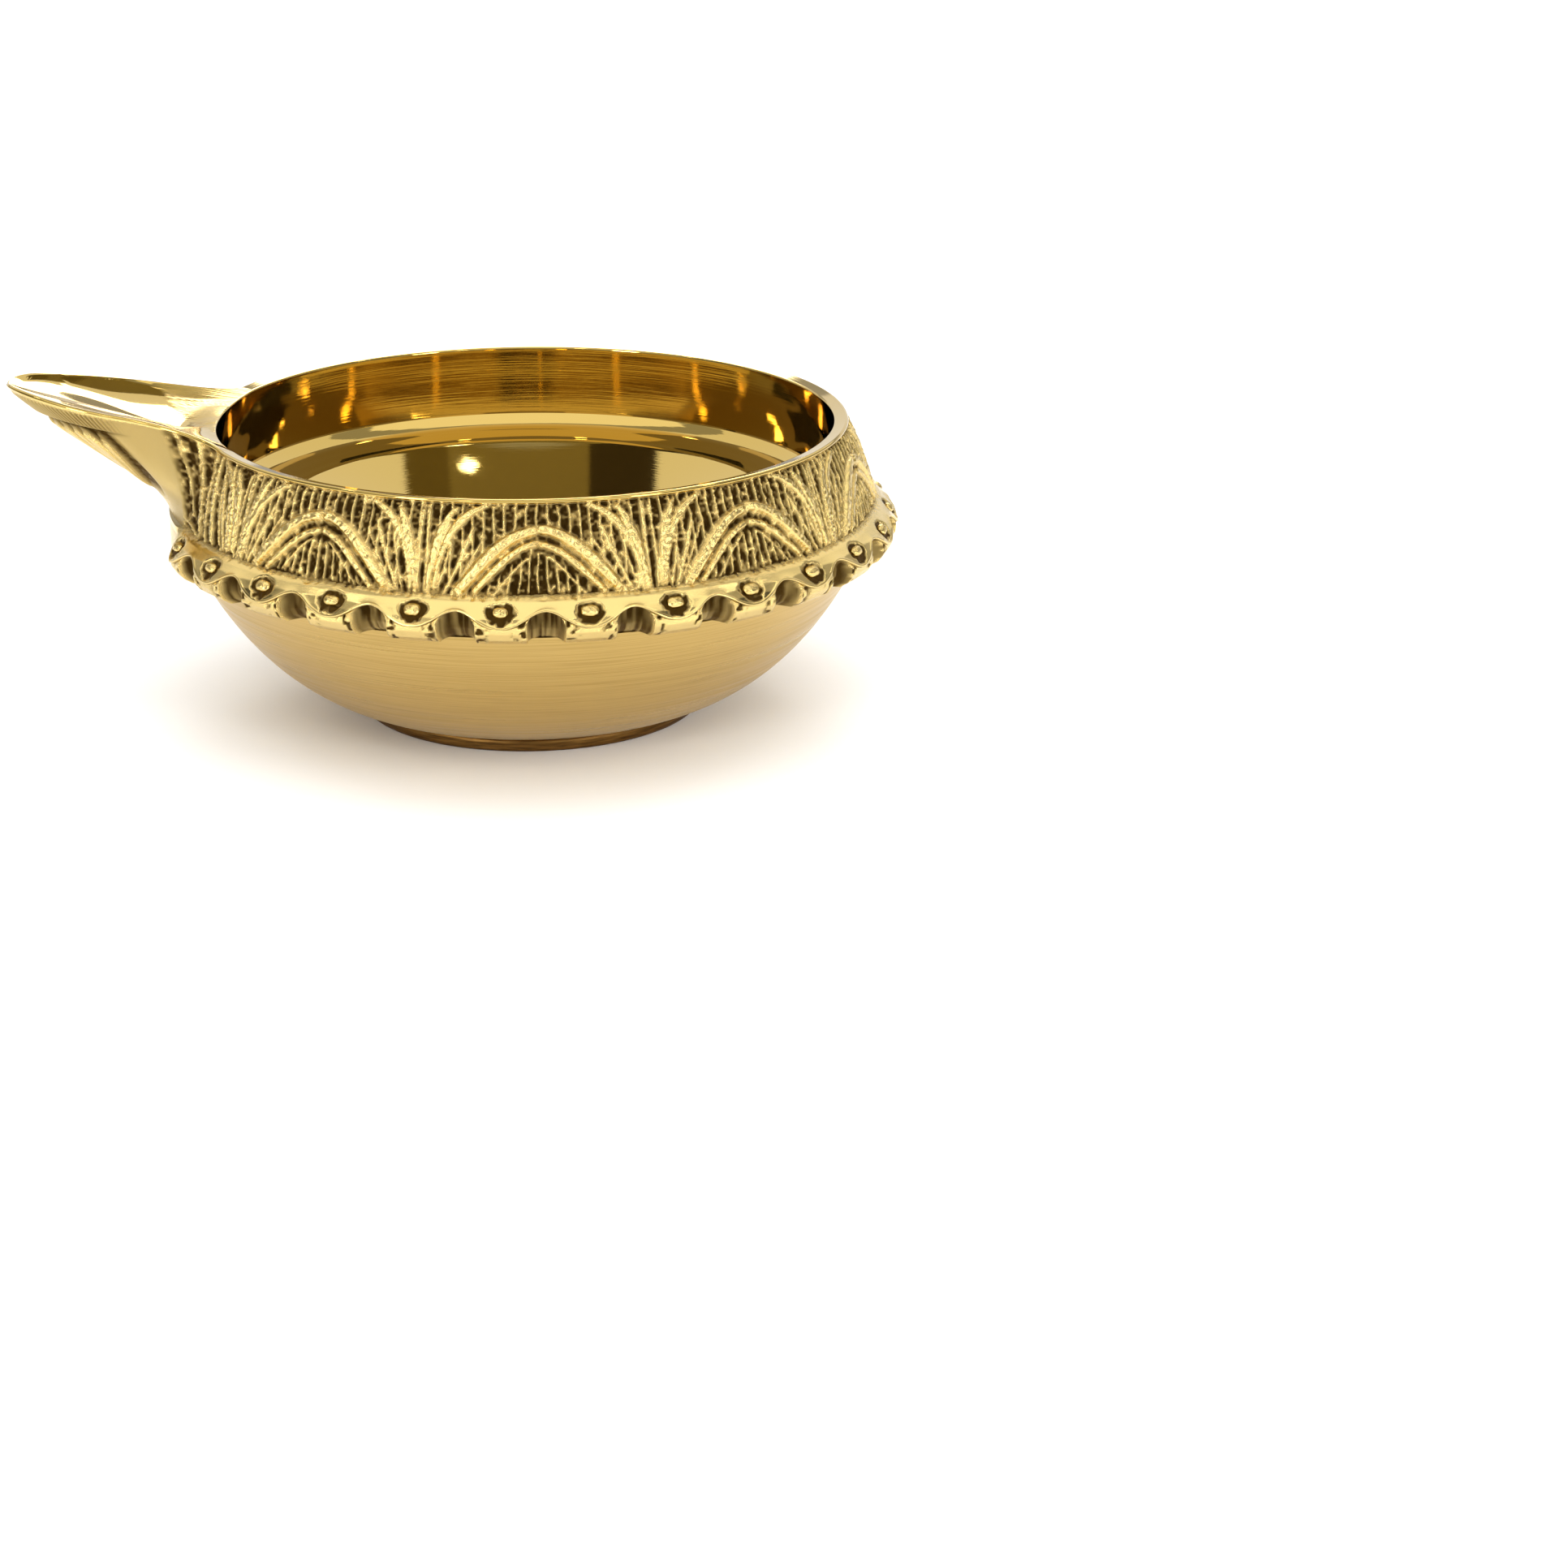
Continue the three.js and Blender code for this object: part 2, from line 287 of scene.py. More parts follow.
def turned_sheet(profile: np.ndarray, columns: int) -> Sheet:
    """Turns a profile round the Z axis.

    Args:
        profile: Points of radius and height in millimetres, the outside going up.
        columns: How many steps round the axis.

    Returns:
        The turned sheet, with the profile's own smooth normals.
    """
    azimuth = np.arange(columns) * 360.0 / columns
    points = polar(profile[:, :1], azimuth[None], profile[:, 1:])
    slope = np.gradient(profile, axis=0)
    slope /= np.maximum(np.linalg.norm(slope, axis=1, keepdims=True), 1e-9)
    normals = polar(slope[:, 1:], azimuth[None], -slope[:, :1])
    return Sheet(points, normals, np.ones(points.shape[:2]))


def finish_piece(piece: bpy.types.Object, nodes: list[str]) -> None:
    """Ties a piece to the frame.

    Args:
        piece: The piece.
        nodes: CAD nodes that it stands for.
    """
    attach(piece, ROOT)
    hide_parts(*nodes)
    log.info("%s: %d faces", piece.name, len(piece.data.polygons))


# ---------------------------------------------------------------- finishes


def add_node(tree: bpy.types.NodeTree, kind: str, links: dict, **settings) -> bpy.types.Node:
    """Adds one shader node.

    Args:
        tree: The node tree.
        kind: The node's type.
        links: Input name or index to a value, or to the output socket that feeds it.
        **settings: Attributes of the node.

    Returns:
        The new node.
    """
    node = tree.nodes.new(kind)
    for name, value in settings.items():
        setattr(node, name, value)
    for name, value in links.items():
        if isinstance(value, bpy.types.NodeSocket):
            tree.links.new(value, node.inputs[name])
        else:
            node.inputs[name].default_value = value
    return node


def add_ramp(tree: bpy.types.NodeTree, source, stops: list[tuple[float, tuple]]) -> bpy.types.NodeSocket:
    """Adds a colour ramp.

    Args:
        tree: The node tree.
        source: The socket that drives it.
        stops: Positions and linear colours.

    Returns:
        The ramp's colour output.
    """
    node = add_node(tree, "ShaderNodeValToRGB", {"Fac": source})
    elements = node.color_ramp.elements
    while len(elements) < len(stops):
        elements.new(0.5)
    for element, (position, colour) in zip(elements, stops):
        element.position = position
        element.color = colour
    return node.outputs["Color"]


def add_range(tree: bpy.types.NodeTree, value, span: tuple[float, float], **limits) -> bpy.types.NodeSocket:
    """Adds a linear remap.

    Args:
        tree: The node tree.
        value: The socket that drives it.
        span: Results at the low and the high limit.
        **limits: From_Min and From_Max, where they differ from 0 and 1.

    Returns:
        The remapped value.
    """
    links = {"Value": value, "To Min": span[0], "To Max": span[1]}
    links.update({name.replace("_", " "): limit for name, limit in limits.items()})
    return add_node(tree, "ShaderNodeMapRange", links).outputs[0]


def grey(value: float) -> tuple[float, float, float, float]:
    """Gives a grey of one linear value."""
    return (value, value, value, 1.0)


@dataclass(frozen=True)
class Finish:
    """A brass finish: how it is made, and what the eye sees."""

    name: str
    colour: str = "c4a75d"
    roughness: float = 0.1

    def material(self) -> bpy.types.Material:
        """Builds the material.

        Returns:
            The material with its node tree.
        """
        made = bpy.data.materials.new(self.name)
        made.use_nodes = True
        tree = made.node_tree
        shader = tree.nodes["Principled BSDF"]
        shader.inputs["Metallic"].default_value = 1.0
        shader.inputs["Base Color"].default_value = linear_rgb(self.colour)
        shader.inputs["Roughness"].default_value = self.roughness
        self.dress(tree, shader)
        return made

    def dress(self, tree: bpy.types.NodeTree, shader: bpy.types.Node) -> None:
        """Adds the nodes of this finish."""


def rings_noise(tree: bpy.types.NodeTree, pitch: float, stretch: float) -> bpy.types.NodeSocket:
    """Adds noise drawn out round the turning axis, as a lathe tool leaves it.

    Args:
        tree: The node tree.
        pitch: Height of one mark in metres.
        stretch: How many pitches long a mark is round the lamp.

    Returns:
        The noise's value.
    """
    place = add_node(tree, "ShaderNodeTexCoord", {}).outputs["Object"]
    split = add_node(tree, "ShaderNodeSeparateXYZ", {0: place})
    x, y, z = split.outputs
    angle = add_node(tree, "ShaderNodeMath", {0: y, 1: x}, operation="ARCTAN2").outputs[0]
    flat = add_node(tree, "ShaderNodeCombineXYZ", {0: x, 1: y})
    radius = add_node(tree, "ShaderNodeVectorMath", {0: flat.outputs[0]}, operation="LENGTH").outputs["Value"]
    level = add_node(tree, "ShaderNodeMath", {0: z, 1: radius}, operation="ADD").outputs[0]
    level = add_node(tree, "ShaderNodeMath", {0: level, 1: pitch}, operation="DIVIDE").outputs[0]
    cos = add_node(tree, "ShaderNodeMath", {0: angle}, operation="COSINE").outputs[0]
    sin = add_node(tree, "ShaderNodeMath", {0: angle}, operation="SINE").outputs[0]
    turns = 0.03 / (pitch * stretch)
    cos = add_node(tree, "ShaderNodeMath", {0: cos, 1: turns}, operation="MULTIPLY").outputs[0]
    sin = add_node(tree, "ShaderNodeMath", {0: sin, 1: turns}, operation="MULTIPLY").outputs[0]
    point = add_node(tree, "ShaderNodeCombineXYZ", {0: cos, 1: sin, 2: level}).outputs[0]
    noise = add_node(tree, "ShaderNodeTexNoise", {"Vector": point, "Scale": 1.0, "Detail": 3.0})
    return noise.outputs["Fac"]


# Gives the eye sharp room reflections in deep gold, and a whiter, softer patch where it is filed.
@dataclass(frozen=True)
class MirrorBrass(Finish):
    """Buffed brass: clear reflections with faint wheel marks."""

    name: str = "mirror_buffed_brass"
    roughness: float = 0.035
    filed: float = 0.4

    def dress(self, tree: bpy.types.NodeTree, shader: bpy.types.Node) -> None:
        """Adds faint buffing rings and a slow change of gloss.

        Args:
            tree: The material's nodes.
            shader: Its Principled BSDF.
        """
        marks = rings_noise(tree, 0.00018, 60)
        bump = add_node(tree, "ShaderNodeBump", {"Height": marks, "Strength": 0.05, "Distance": 0.00004})
        tree.links.new(bump.outputs[0], shader.inputs["Normal"])
        clouds = add_node(tree, "ShaderNodeTexNoise", {"Scale": 160.0, "Detail": 4.0})
        gloss = add_range(tree, clouds.outputs["Fac"], (self.roughness * 0.6, self.roughness * 1.8))
        polish = add_node(tree, "ShaderNodeAttribute", {}, attribute_name=RELIEF).outputs["Fac"]
        filed = add_range(tree, polish, (self.filed, 0.0))
        total = add_node(tree, "ShaderNodeMath", {0: gloss, 1: filed}, operation="ADD")
        tree.links.new(total.outputs[0], shader.inputs["Roughness"])


# Gives the eye a soft pale gold glow, crossed by fine level lines.
@dataclass(frozen=True)
class SatinBrass(Finish):
    """Brass left as the turning tool and fine emery leave it: soft rings of light."""

    name: str = "satin_lathe_turned_brass"
    colour: str = "c3a564"
    roughness: float = 0.34
    low_tone: str = "b19455"
    gloss: tuple[float, float] = (0.26, 0.42)

    def dress(self, tree: bpy.types.NodeTree, shader: bpy.types.Node) -> None:
        """Adds turning marks to the gloss, the tone and the surface.

        Args:
            tree: The material's nodes.
            shader: Its Principled BSDF.
        """
        fine = rings_noise(tree, 0.00012, 90)
        broad = rings_noise(tree, 0.0007, 40)
        bump = add_node(tree, "ShaderNodeBump", {"Height": fine, "Strength": 0.2, "Distance": 0.00003})
        second = add_node(
            tree,
            "ShaderNodeBump",
            {"Height": broad, "Strength": 0.12, "Distance": 0.00008, "Normal": bump.outputs[0]},
        )
        tree.links.new(second.outputs[0], shader.inputs["Normal"])
        gloss = add_range(tree, broad, self.gloss, From_Min=0.3, From_Max=0.7)
        tree.links.new(gloss, shader.inputs["Roughness"])
        tone = add_ramp(tree, fine, [(0.3, linear_rgb(self.low_tone)), (0.55, linear_rgb(self.colour))])
        tree.links.new(tone, shader.inputs["Base Color"])


# Gives the eye a dull brown line where the lamp meets the shelf.
@dataclass(frozen=True)
class FootBrass(Finish):
    """Brass gone brown where it rubs the shelf and is never polished."""

    name: str = "browned_turned_brass"
    colour: str = "846232"
    roughness: float = 0.4
    dark: str = "583e1e"

    def dress(self, tree: bpy.types.NodeTree, shader: bpy.types.Node) -> None:
        """Adds uneven browning and turning marks.

        Args:
            tree: The material's nodes.
            shader: Its Principled BSDF.
        """
        marks = rings_noise(tree, 0.0002, 30)
        tone = add_ramp(tree, marks, [(0.35, linear_rgb(self.dark)), (0.65, linear_rgb(self.colour))])
        tree.links.new(tone, shader.inputs["Base Color"])
        bump = add_node(tree, "ShaderNodeBump", {"Height": marks, "Strength": 0.4, "Distance": 0.00008})
        tree.links.new(bump.outputs[0], shader.inputs["Normal"])


# Gives the eye bright glinting lines over a dark, grainy ground.
@dataclass(frozen=True)
class ReliefBrass(Finish):
    """Cast brass: bright rubbed crests over a granular ground that holds dark patina."""

    name: str = "cast_brass_with_patina"
    colour: str = "dfc37c"
    ground: str = "775a27"
    pit: str = "1e1204"
    roughness: float = 0.2
    ground_roughness: float = 0.5

    def dress(self, tree: bpy.types.NodeTree, shader: bpy.types.Node) -> None:
        """Adds patina by depth, granular pits and rubbed crests, and painted shade where the relief value is
        set low for it.

        Args:
            tree: The material's nodes.
            shader: Its Principled BSDF.
        """
        height = add_node(tree, "ShaderNodeAttribute", {}, attribute_name=RELIEF).outputs["Fac"]
        grain = add_node(tree, "ShaderNodeTexNoise", {"Scale": 3600.0, "Detail": 3.0}).outputs["Fac"]
        worn = add_range(tree, height, (0.0, 1.0), From_Min=0.2, From_Max=0.72)
        # Low values give the dark pit and ground colours: patina in the hollows, and painted shade under the
        # band's lip and along the groove under the spout.
        dust_and_shade = add_ramp(tree, grain, [(0.4, linear_rgb(self.pit)), (0.58, linear_rgb(self.ground))])
        tone = add_node(
            tree,
            "ShaderNodeMix",
            {0: worn, 6: dust_and_shade, 7: linear_rgb(self.colour)},
            data_type="RGBA",
        )
        tree.links.new(tone.outputs[2], shader.inputs["Base Color"])
        gloss = add_range(tree, worn, (self.ground_roughness, self.roughness))
        tree.links.new(gloss, shader.inputs["Roughness"])
        depth = add_ramp(tree, height, [(0.2, grey(0.9)), (0.8, grey(0.35)), (0.97, grey(0.05))])
        bump = add_node(tree, "ShaderNodeBump", {"Height": grain, "Strength": depth, "Distance": 0.0001})
        tree.links.new(bump.outputs[0], shader.inputs["Normal"])


# ---------------------------------------------------------------- turned pieces


@dataclass
class Foot:
    """The low foot that the lamp stands on."""

    height: float = 1.4
    radius: float = 16.35
    edge_round: float = 0.35
    groove_radius: float = 13.2
    columns: int = 256

    def build(self, finish: Finish) -> None:
        """Builds the foot.

        Args:
            finish: Its finish.
        """
        low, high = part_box("foot_disc")
        radius, top = max(self.radius, high[0] / MM), self.height
        curve = np.linspace(0, np.pi / 2, 6)
        corner = np.stack(
            [
                radius - self.edge_round * (1 - np.sin(curve)),
                self.edge_round * (1 - np.cos(curve)),
            ],
            axis=1,
        )
        groove = self.groove_radius + np.array([[-0.5, 0], [-0.25, 0.12], [0.25, 0.12], [0.5, 0]])
        groove[:, 1] -= self.groove_radius
        under = np.array([[0.05, 0.0], [4, 0.0], [9, 0.0]])
        wall = np.array([[radius, top * 0.6], [radius, top], [radius - 1, top], [0.05, top]])
        profile = np.concatenate([under, groove, corner, wall])
        sheet = turned_sheet(profile, self.columns)
        piece = add_mesh("foot", [sheet], True, [])
        piece.data.materials.append(finish.material())
        finish_piece(piece, ["foot_disc"])


@dataclass
class Bowl:
    """The turned underside of the bowl, from the foot to the seam."""

    foot_handle: tuple[float, float] = (24.2, 3.0)
    top_handle: tuple[float, float] = (29.4, 10.6)
    thickness: float = 2.4
    rows: int = 150
    columns: int = 512

    def build(self, finish: Finish) -> None:
        """Builds the bowl.

        Args:
            finish: Its finish.
        """
        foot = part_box("foot_disc")[1]
        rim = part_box("turned_bowl")[1]
        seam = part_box("scalloped_band")[0][2]
        start = np.array([foot[0], foot[2]]) / MM
        end = np.array([rim[0], seam]) / MM
        t = np.linspace(0, 1, self.rows)[:, None]
        outside = bezier([start, np.array(self.foot_handle), np.array(self.top_handle), end], t)
        inside = outside[::-6] + (-self.thickness, 0.0)
        inside[-1, 1] = outside[0, 1]
        sheet = turned_sheet(np.concatenate([outside, inside]), self.columns)
        piece = add_mesh("bowl_underside", [sheet], True, [])
        piece.data.materials.append(finish.material())
        finish_piece(piece, ["turned_bowl"])


@dataclass
class Well:
    """The mirror-bright dish inside, with the turned steps round its edge."""

    centre_z: float = 12.8
    edge_radius: float = 23.9
    edge_z: float = 19.2
    wall_radius: float = 28.3
    thickness: float = 1.6
    columns: int = 512

    def build(self, finish: Finish) -> None:
        """Builds the well.

        Args:
            finish: Its finish.
        """
        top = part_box("oil_well")[1][2] / MM
        radius = np.linspace(0.05, self.edge_radius, 60)
        dish = np.stack(
            [radius, self.centre_z + (self.edge_z - self.centre_z) * (radius / self.edge_radius) ** 2],
            axis=1,
        )
        steps = np.array(
            [
                [24.25, 19.26],
                [24.6, 19.27],
                [25.1, 19.36],
                [25.7, 19.58],
                [26.0, 19.7],
                [26.3, 19.72],
                [26.8, 19.86],
                [27.3, 20.15],
                [27.8, 20.6],
                [28.1, 20.9],
                [self.wall_radius, top],
            ]
        )
        face = np.concatenate([dish, steps])
        under = face[::-4] - (0.0, self.thickness)
        loop = np.concatenate([face, under])[::-1]
        piece = add_mesh("well_dish", [turned_sheet(loop, self.columns)], True, [])
        piece.data.materials.append(finish.material())
        finish_piece(piece, ["oil_well"])


# ---------------------------------------------------------------- band


@dataclass
class Band:
    """The flange: a wavy polished ribbon over fluted lobes, with a bead on each lobe."""

    steps_per_pitch: int = 56
    face_rows: int = 26
    ribbon_rows: int = 22
    first_flute: float = 2.0
    flute_half_width: float = 1.6
    flute_depth: float = 1.9
    flute_round: float = 1.25
    lobe_edge_z: float = 17.9
    flute_edge_z: float = 19.25
    lip: float = 0.2
    inside: float = 30.6
    bead_tilt: float = 44.0
    neck_radius: float = 33.5
    neck_edge_z: float = 19.6
    neck_clear: float = 21.5
    neck_fade: float = 6.0
    bead_half: tuple[float, float, float] = (0.76, 0.52, 0.42)
    bead_radius: float = 34.15
    bed_half: tuple[float, float] = (1.4, 1.0)
    outline: list[tuple[float, float]] = field(
        default_factory=lambda: [
            (33.5, 16.1),
            (34.3, 16.6),
            (34.75, 17.3),
            (34.8, 17.9),
            (34.55, 18.6),
            (34.1, 19.2),
            (33.4, 19.77),
            (32.8, 20.12),
        ]
    )

    def neck(self, azimuth: np.ndarray) -> np.ndarray:
        """Says how far each azimuth is under the spout's neck, from 0 to 1."""
        away = np.abs((azimuth - SPOUT_AZIMUTH + 180) % 360 - 180)
        return 1 - smooth(self.neck_clear - self.neck_fade, self.neck_clear, away)

    def outer_radius(self, z: np.ndarray, neck: np.ndarray) -> np.ndarray:
        """Looks up the band's outline before the flutes are cut.

        Args:
            z: Heights in millimetres.
            neck: Share of the neck at each point.

        Returns:
            Radii in millimetres.
        """
        radii, heights = np.array(self.outline).T
        plain = np.interp(z, heights, radii)
        return mix(plain, np.full_like(plain, self.neck_radius), neck)

    def sheet(self) -> Sheet:
        """Works out the band's visible surface.

        Returns:
            Rows from the seam up the face, over the lip and along the ribbon.
        """
        columns = FLUTE_COUNT * self.steps_per_pitch
        azimuth = np.arange(columns)[None] * 360.0 / columns
        neck = self.neck(azimuth)
        phase = ((azimuth - self.first_flute) / FLUTE_PITCH + 0.5) % 1 - 0.5
        across = phase * FLUTE_PITCH * np.pi / 180 * 34.4
        wave = 0.5 + 0.5 * np.cos(2 * np.pi * phase)
        edge_z = mix(mix(self.lobe_edge_z, self.flute_edge_z, wave**1.15), self.neck_edge_z, neck)
        seam_z = self.outline[0][1]
        top_z = self.outline[-1][1]
        # The face, with the flutes cut into it.
        share = np.linspace(0, 1, self.face_rows)[:, None]
        z = seam_z + (edge_z - self.lip - seam_z) * share
        arch = self.flute_edge_z - self.lip - self.flute_round
        above = np.maximum(0, z - arch) / self.flute_round
        reach = (np.abs(across) / self.flute_half_width) ** 2.6 + above**2.2
        cut = np.clip(1 - reach, 0, 1) ** 0.45 * (1 - neck)
        radius = self.outer_radius(z, neck) - self.flute_depth * cut
        wrap = 2 * np.pi * 34.0
        x = azimuth * wrap / 360
        pits = Grain(3, 0.34, wrap).at(x, z)
        width = self.flute_half_width
        side = smooth(width, width + 0.2, np.abs(across))
        side = side * (1 - smooth(2.4, 3.6, np.abs(across) + 0.7 * pits))
        holes = smooth(0.1, 0.45, pits) * side * (1 - neck)
        radius = radius - 0.16 * holes
        strokes = Grain(5, 0.2, wrap).at(x, z * 0.12)
        radius = radius + 0.06 * strokes * smooth(0.0, 0.3, cut)
        face = polar(radius, azimuth, z)
        face_tone = mix(0.8 - 0.75 * holes, 0.3 + 0.22 * strokes, smooth(0, 0.35, cut))
        # The lip: a thin overhang under the ribbon's edge.
        lip_radius = self.outer_radius(edge_z, neck)
        bulge = 0.22 * (1 - neck)
        lip_in = polar(lip_radius - 0.05 * (1 - neck), azimuth, edge_z - self.lip)
        lip_out = polar(lip_radius + bulge, azimuth, edge_z - self.lip * 0.6)
        lip_top = polar(lip_radius + bulge * 0.8, azimuth, edge_z + 0.03)
        # The ribbon, with a pitted ring sunk round each bead.
        share = np.linspace(0, 1, self.ribbon_rows + 1)[1:, None]
        z = mix(edge_z + 0.08, top_z, share**1.15)
        radius = self.outer_radius(z, neck) + 0.12 * (1 - neck) * (1 - share) ** 3
        off = (0.5 - np.abs(phase)) * FLUTE_PITCH * np.pi / 180 * self.bead_radius
        slope = (radius - self.bead_radius) * 1.35
        ring = np.sqrt((off / self.bed_half[0]) ** 2 + (slope / self.bed_half[1]) ** 2)
        rough = Grain(9, 0.3, wrap).at(x, z)
        bed = (1 - smooth(0.75, 1.05, ring + 0.12 * rough)) * (1 - neck)
        near_wall = smooth(top_z - 0.25, top_z, z + 0.15 * rough) * (1 - neck)
        sink = 0.26 * bed + 0.1 * rough * (bed + near_wall)
        ribbon = polar(radius - sink * 0.7, azimuth, z - sink * 0.7)
        swell = Grain(12, 2.2, wrap).at(x, z)
        ribbon[..., 2] += 0.05 * swell * (1 - share)
        ribbon_tone = 1.0 - bed * (0.95 - 0.35 * rough) - near_wall * (0.4 - 0.3 * rough)
        points = np.concatenate([face, lip_in, lip_out, lip_top, ribbon])
        # The lip's underside gets a low tone of 0.2: a painted shade line in the undercut below the ribbon's
        # edge. The lip's outer edge and top get full polish.
        lip_tone_with_painted_shade = np.broadcast_to(np.array([[0.2], [1.0], [1.0]]), (3, columns))
        relief = np.concatenate([np.broadcast_to(face_tone, face.shape[:2]), lip_tone_with_painted_shade, ribbon_tone])
        return Sheet(points, grid_normals(points), relief)

    def beads(self) -> list[Sheet]:
        """Builds the oblong domes, one for each lobe clear of the neck.

        Returns:
            One closed sheet for each bead.
        """
        rng = np.random.default_rng(21)
        made = []
        turn = np.linspace(0, 2 * np.pi, 29)[:-1]
        rise = np.linspace(-0.35, 1, 12) * np.pi / 2
        z = float(np.interp(-self.bead_radius, *(np.array(self.outline).T * [[-1], [1]])[:, 3:]))
        for i in range(FLUTE_COUNT):
            azimuth = self.first_flute + (i + 0.5) * FLUTE_PITCH
            half = np.array(self.bead_half) * rng.uniform(0.9, 1.1, 3)
            if self.neck(np.array(azimuth)) > 0.02:
                continue
            ease = lambda v: np.sign(v) * np.abs(v) ** 0.8
            level = np.cos(rise)[:, None]
            local = np.stack(
                [
                    half[0] * ease(np.cos(turn)) * level,
                    half[1] * ease(np.sin(turn)) * level,
                    half[2] * np.sin(rise)[:, None] + 0 * turn,
                ],
                axis=-1,
            )
            local += 0.03 * rng.uniform(-1, 1, local.shape)
            angle = math.radians(azimuth)
            frame_axes = Matrix.Rotation(angle, 3, "Z") @ Matrix.Rotation(math.radians(self.bead_tilt), 3, "X")
            points = local @ np.array(frame_axes).T + polar(self.bead_radius - 0.12, azimuth, z - 0.12)
            normals = grid_normals(points)
            made.append(Sheet(points, normals, np.full(points.shape[:2], 0.9)))
        return made

    def build(self, finish: Finish) -> None:
        """Builds the band and its beads.

        Args:
            finish: Their finish.
        """
        sheet = self.sheet()
        columns = sheet.points.shape[1]
        azimuth = np.arange(columns) * 360.0 / columns
        back = np.array([[self.inside, self.outline[end][1]] for end in (-1, 0)])
        closing = Sheet.hidden(polar(back[:, :1], azimuth[None], back[:, 1:]))
        band = add_mesh("fluted_band", [Sheet.stack(sheet, closing)], True, [])
        band.data.materials.append(finish.material())
        finish_piece(band, ["scalloped_band"])
        beads = add_mesh("lobe_beads", self.beads(), True, [])
        beads.data.materials.append(band.data.materials[0])
        finish_piece(beads, ["scalloped_band"])


# ---------------------------------------------------------------- upper casting


@dataclass(frozen=True)
class Vein:
    """A raised line of the ornament, in millimetres from its motif's foot."""

    course: tuple[tuple[float, float], ...]
    width: float
    height: float
    swell: float = 0.0

    def lift(self, x: np.ndarray, y: np.ndarray) -> np.ndarray:
        """Works out the line's height over a stretch of wall.

        Args:
            x: Millimetres round the wall from the motif's middle.
            y: Millimetres up the wall.

        Returns:
            Height in millimetres at each point.
        """
        t = np.linspace(0, 1, 30)[:, None]
        line = bezier([np.array(p) for p in self.course], t)
        gap = np.hypot(x[..., None] - line[:, 0], y[..., None] - line[:, 1])
        nearest = gap.argmin(axis=-1)
        share = nearest / (len(line) - 1)
        width = self.width * (1 + self.swell * np.sin(np.pi * share**1.6) ** 2)
        fade = np.minimum(1, np.minimum(share, 1 - share) * 9 + 0.45)
        rel = np.take_along_axis(gap, nearest[..., None], axis=-1)[..., 0] / width
        return self.height * fade * np.clip(1.6 * np.exp(-rel * rel) - 0.15, 0, 1)


ARCH = (
    Vein(((0.0, 5.35), (2.6, 5.2), (4.3, 3.2), (7.0, 0.15)), 0.5, 0.62, 0.2),
    Vein(((0.0, 4.1), (1.9, 3.9), (3.4, 2.3), (5.6, 0.1)), 0.3, 0.46, 0.2),
    Vein(((0.7, 3.2), (1.6, 2.8), (2.7, 1.5), (3.9, 0.1)), 0.15, 0.3),
)
FAN = (
    Vein(((0.3, 0.1), (0.5, 3.6), (0.2, 7.6)), 0.2, 0.32),
    Vein(((0.6, 0.1), (0.7, 3.9), (2.7, 7.5)), 0.26, 0.46, 1.0),
    Vein(((1.0, 0.1), (1.5, 6.2), (5.6, 7.7)), 0.28, 0.46, 0.6),
    Vein(((1.4, 0.1), (2.4, 3.2), (2.8, 6.0)), 0.17, 0.3),
    Vein(((1.9, 0.1), (3.2, 2.6), (4.3, 5.7)), 0.2, 0.34, 0.4),
    Vein(((2.4, 0.1), (3.7, 2.0), (5.3, 4.9)), 0.15, 0.28),
)
NECK_LEAVES = (
    Vein(((8.6, 0.1), (7.4, 3.6), (6.4, 8.0)), 0.26, 0.4, 0.3),
    Vein(((7.4, 0.1), (5.4, 3.6), (5.0, 8.0)), 0.2, 0.34, 0.3),
    Vein(((6.0, 0.1), (3.8, 3.6), (3.4, 8.2)), 0.28, 0.42, 0.4),
    Vein(((4.3, 0.2), (2.6, 3.4), (2.2, 8.2)), 0.2, 0.3, 0.3),
    Vein(((2.8, 0.3), (1.2, 3.6), (0.9, 8.2)), 0.24, 0.34, 0.3),
    Vein(((0.9, 1.2), (-0.2, 4.0), (-0.4, 8.0)), 0.2, 0.22, 0.3),
    Vein(((2.2, 0.2), (0.2, 0.9), (-2.2, 1.0)), 0.22, 0.3),
    Vein(((0.8, 0.1), (-1.0, 0.5), (-3.0, 0.4)), 0.2, 0.26),
)

HULL_LEAVES = (
    Vein(((0.01, 0.52), (0.06, 0.66), (0.1, 0.84)), 0.022, 0.34, 0.4),
    Vein(((0.02, 0.42), (0.12, 0.58), (0.15, 0.83)), 0.026, 0.38, 0.4),
    Vein(((0.05, 0.36), (0.18, 0.52), (0.21, 0.82)), 0.026, 0.4, 0.4),
    Vein(((0.13, 0.36), (0.24, 0.54), (0.27, 0.82)), 0.022, 0.36, 0.4),
    Vein(((0.2, 0.28), (0.3, 0.5), (0.33, 0.82)), 0.028, 0.42, 0.4),
    Vein(((0.12, 0.24), (0.33, 0.4), (0.39, 0.78)), 0.024, 0.36, 0.4),
)


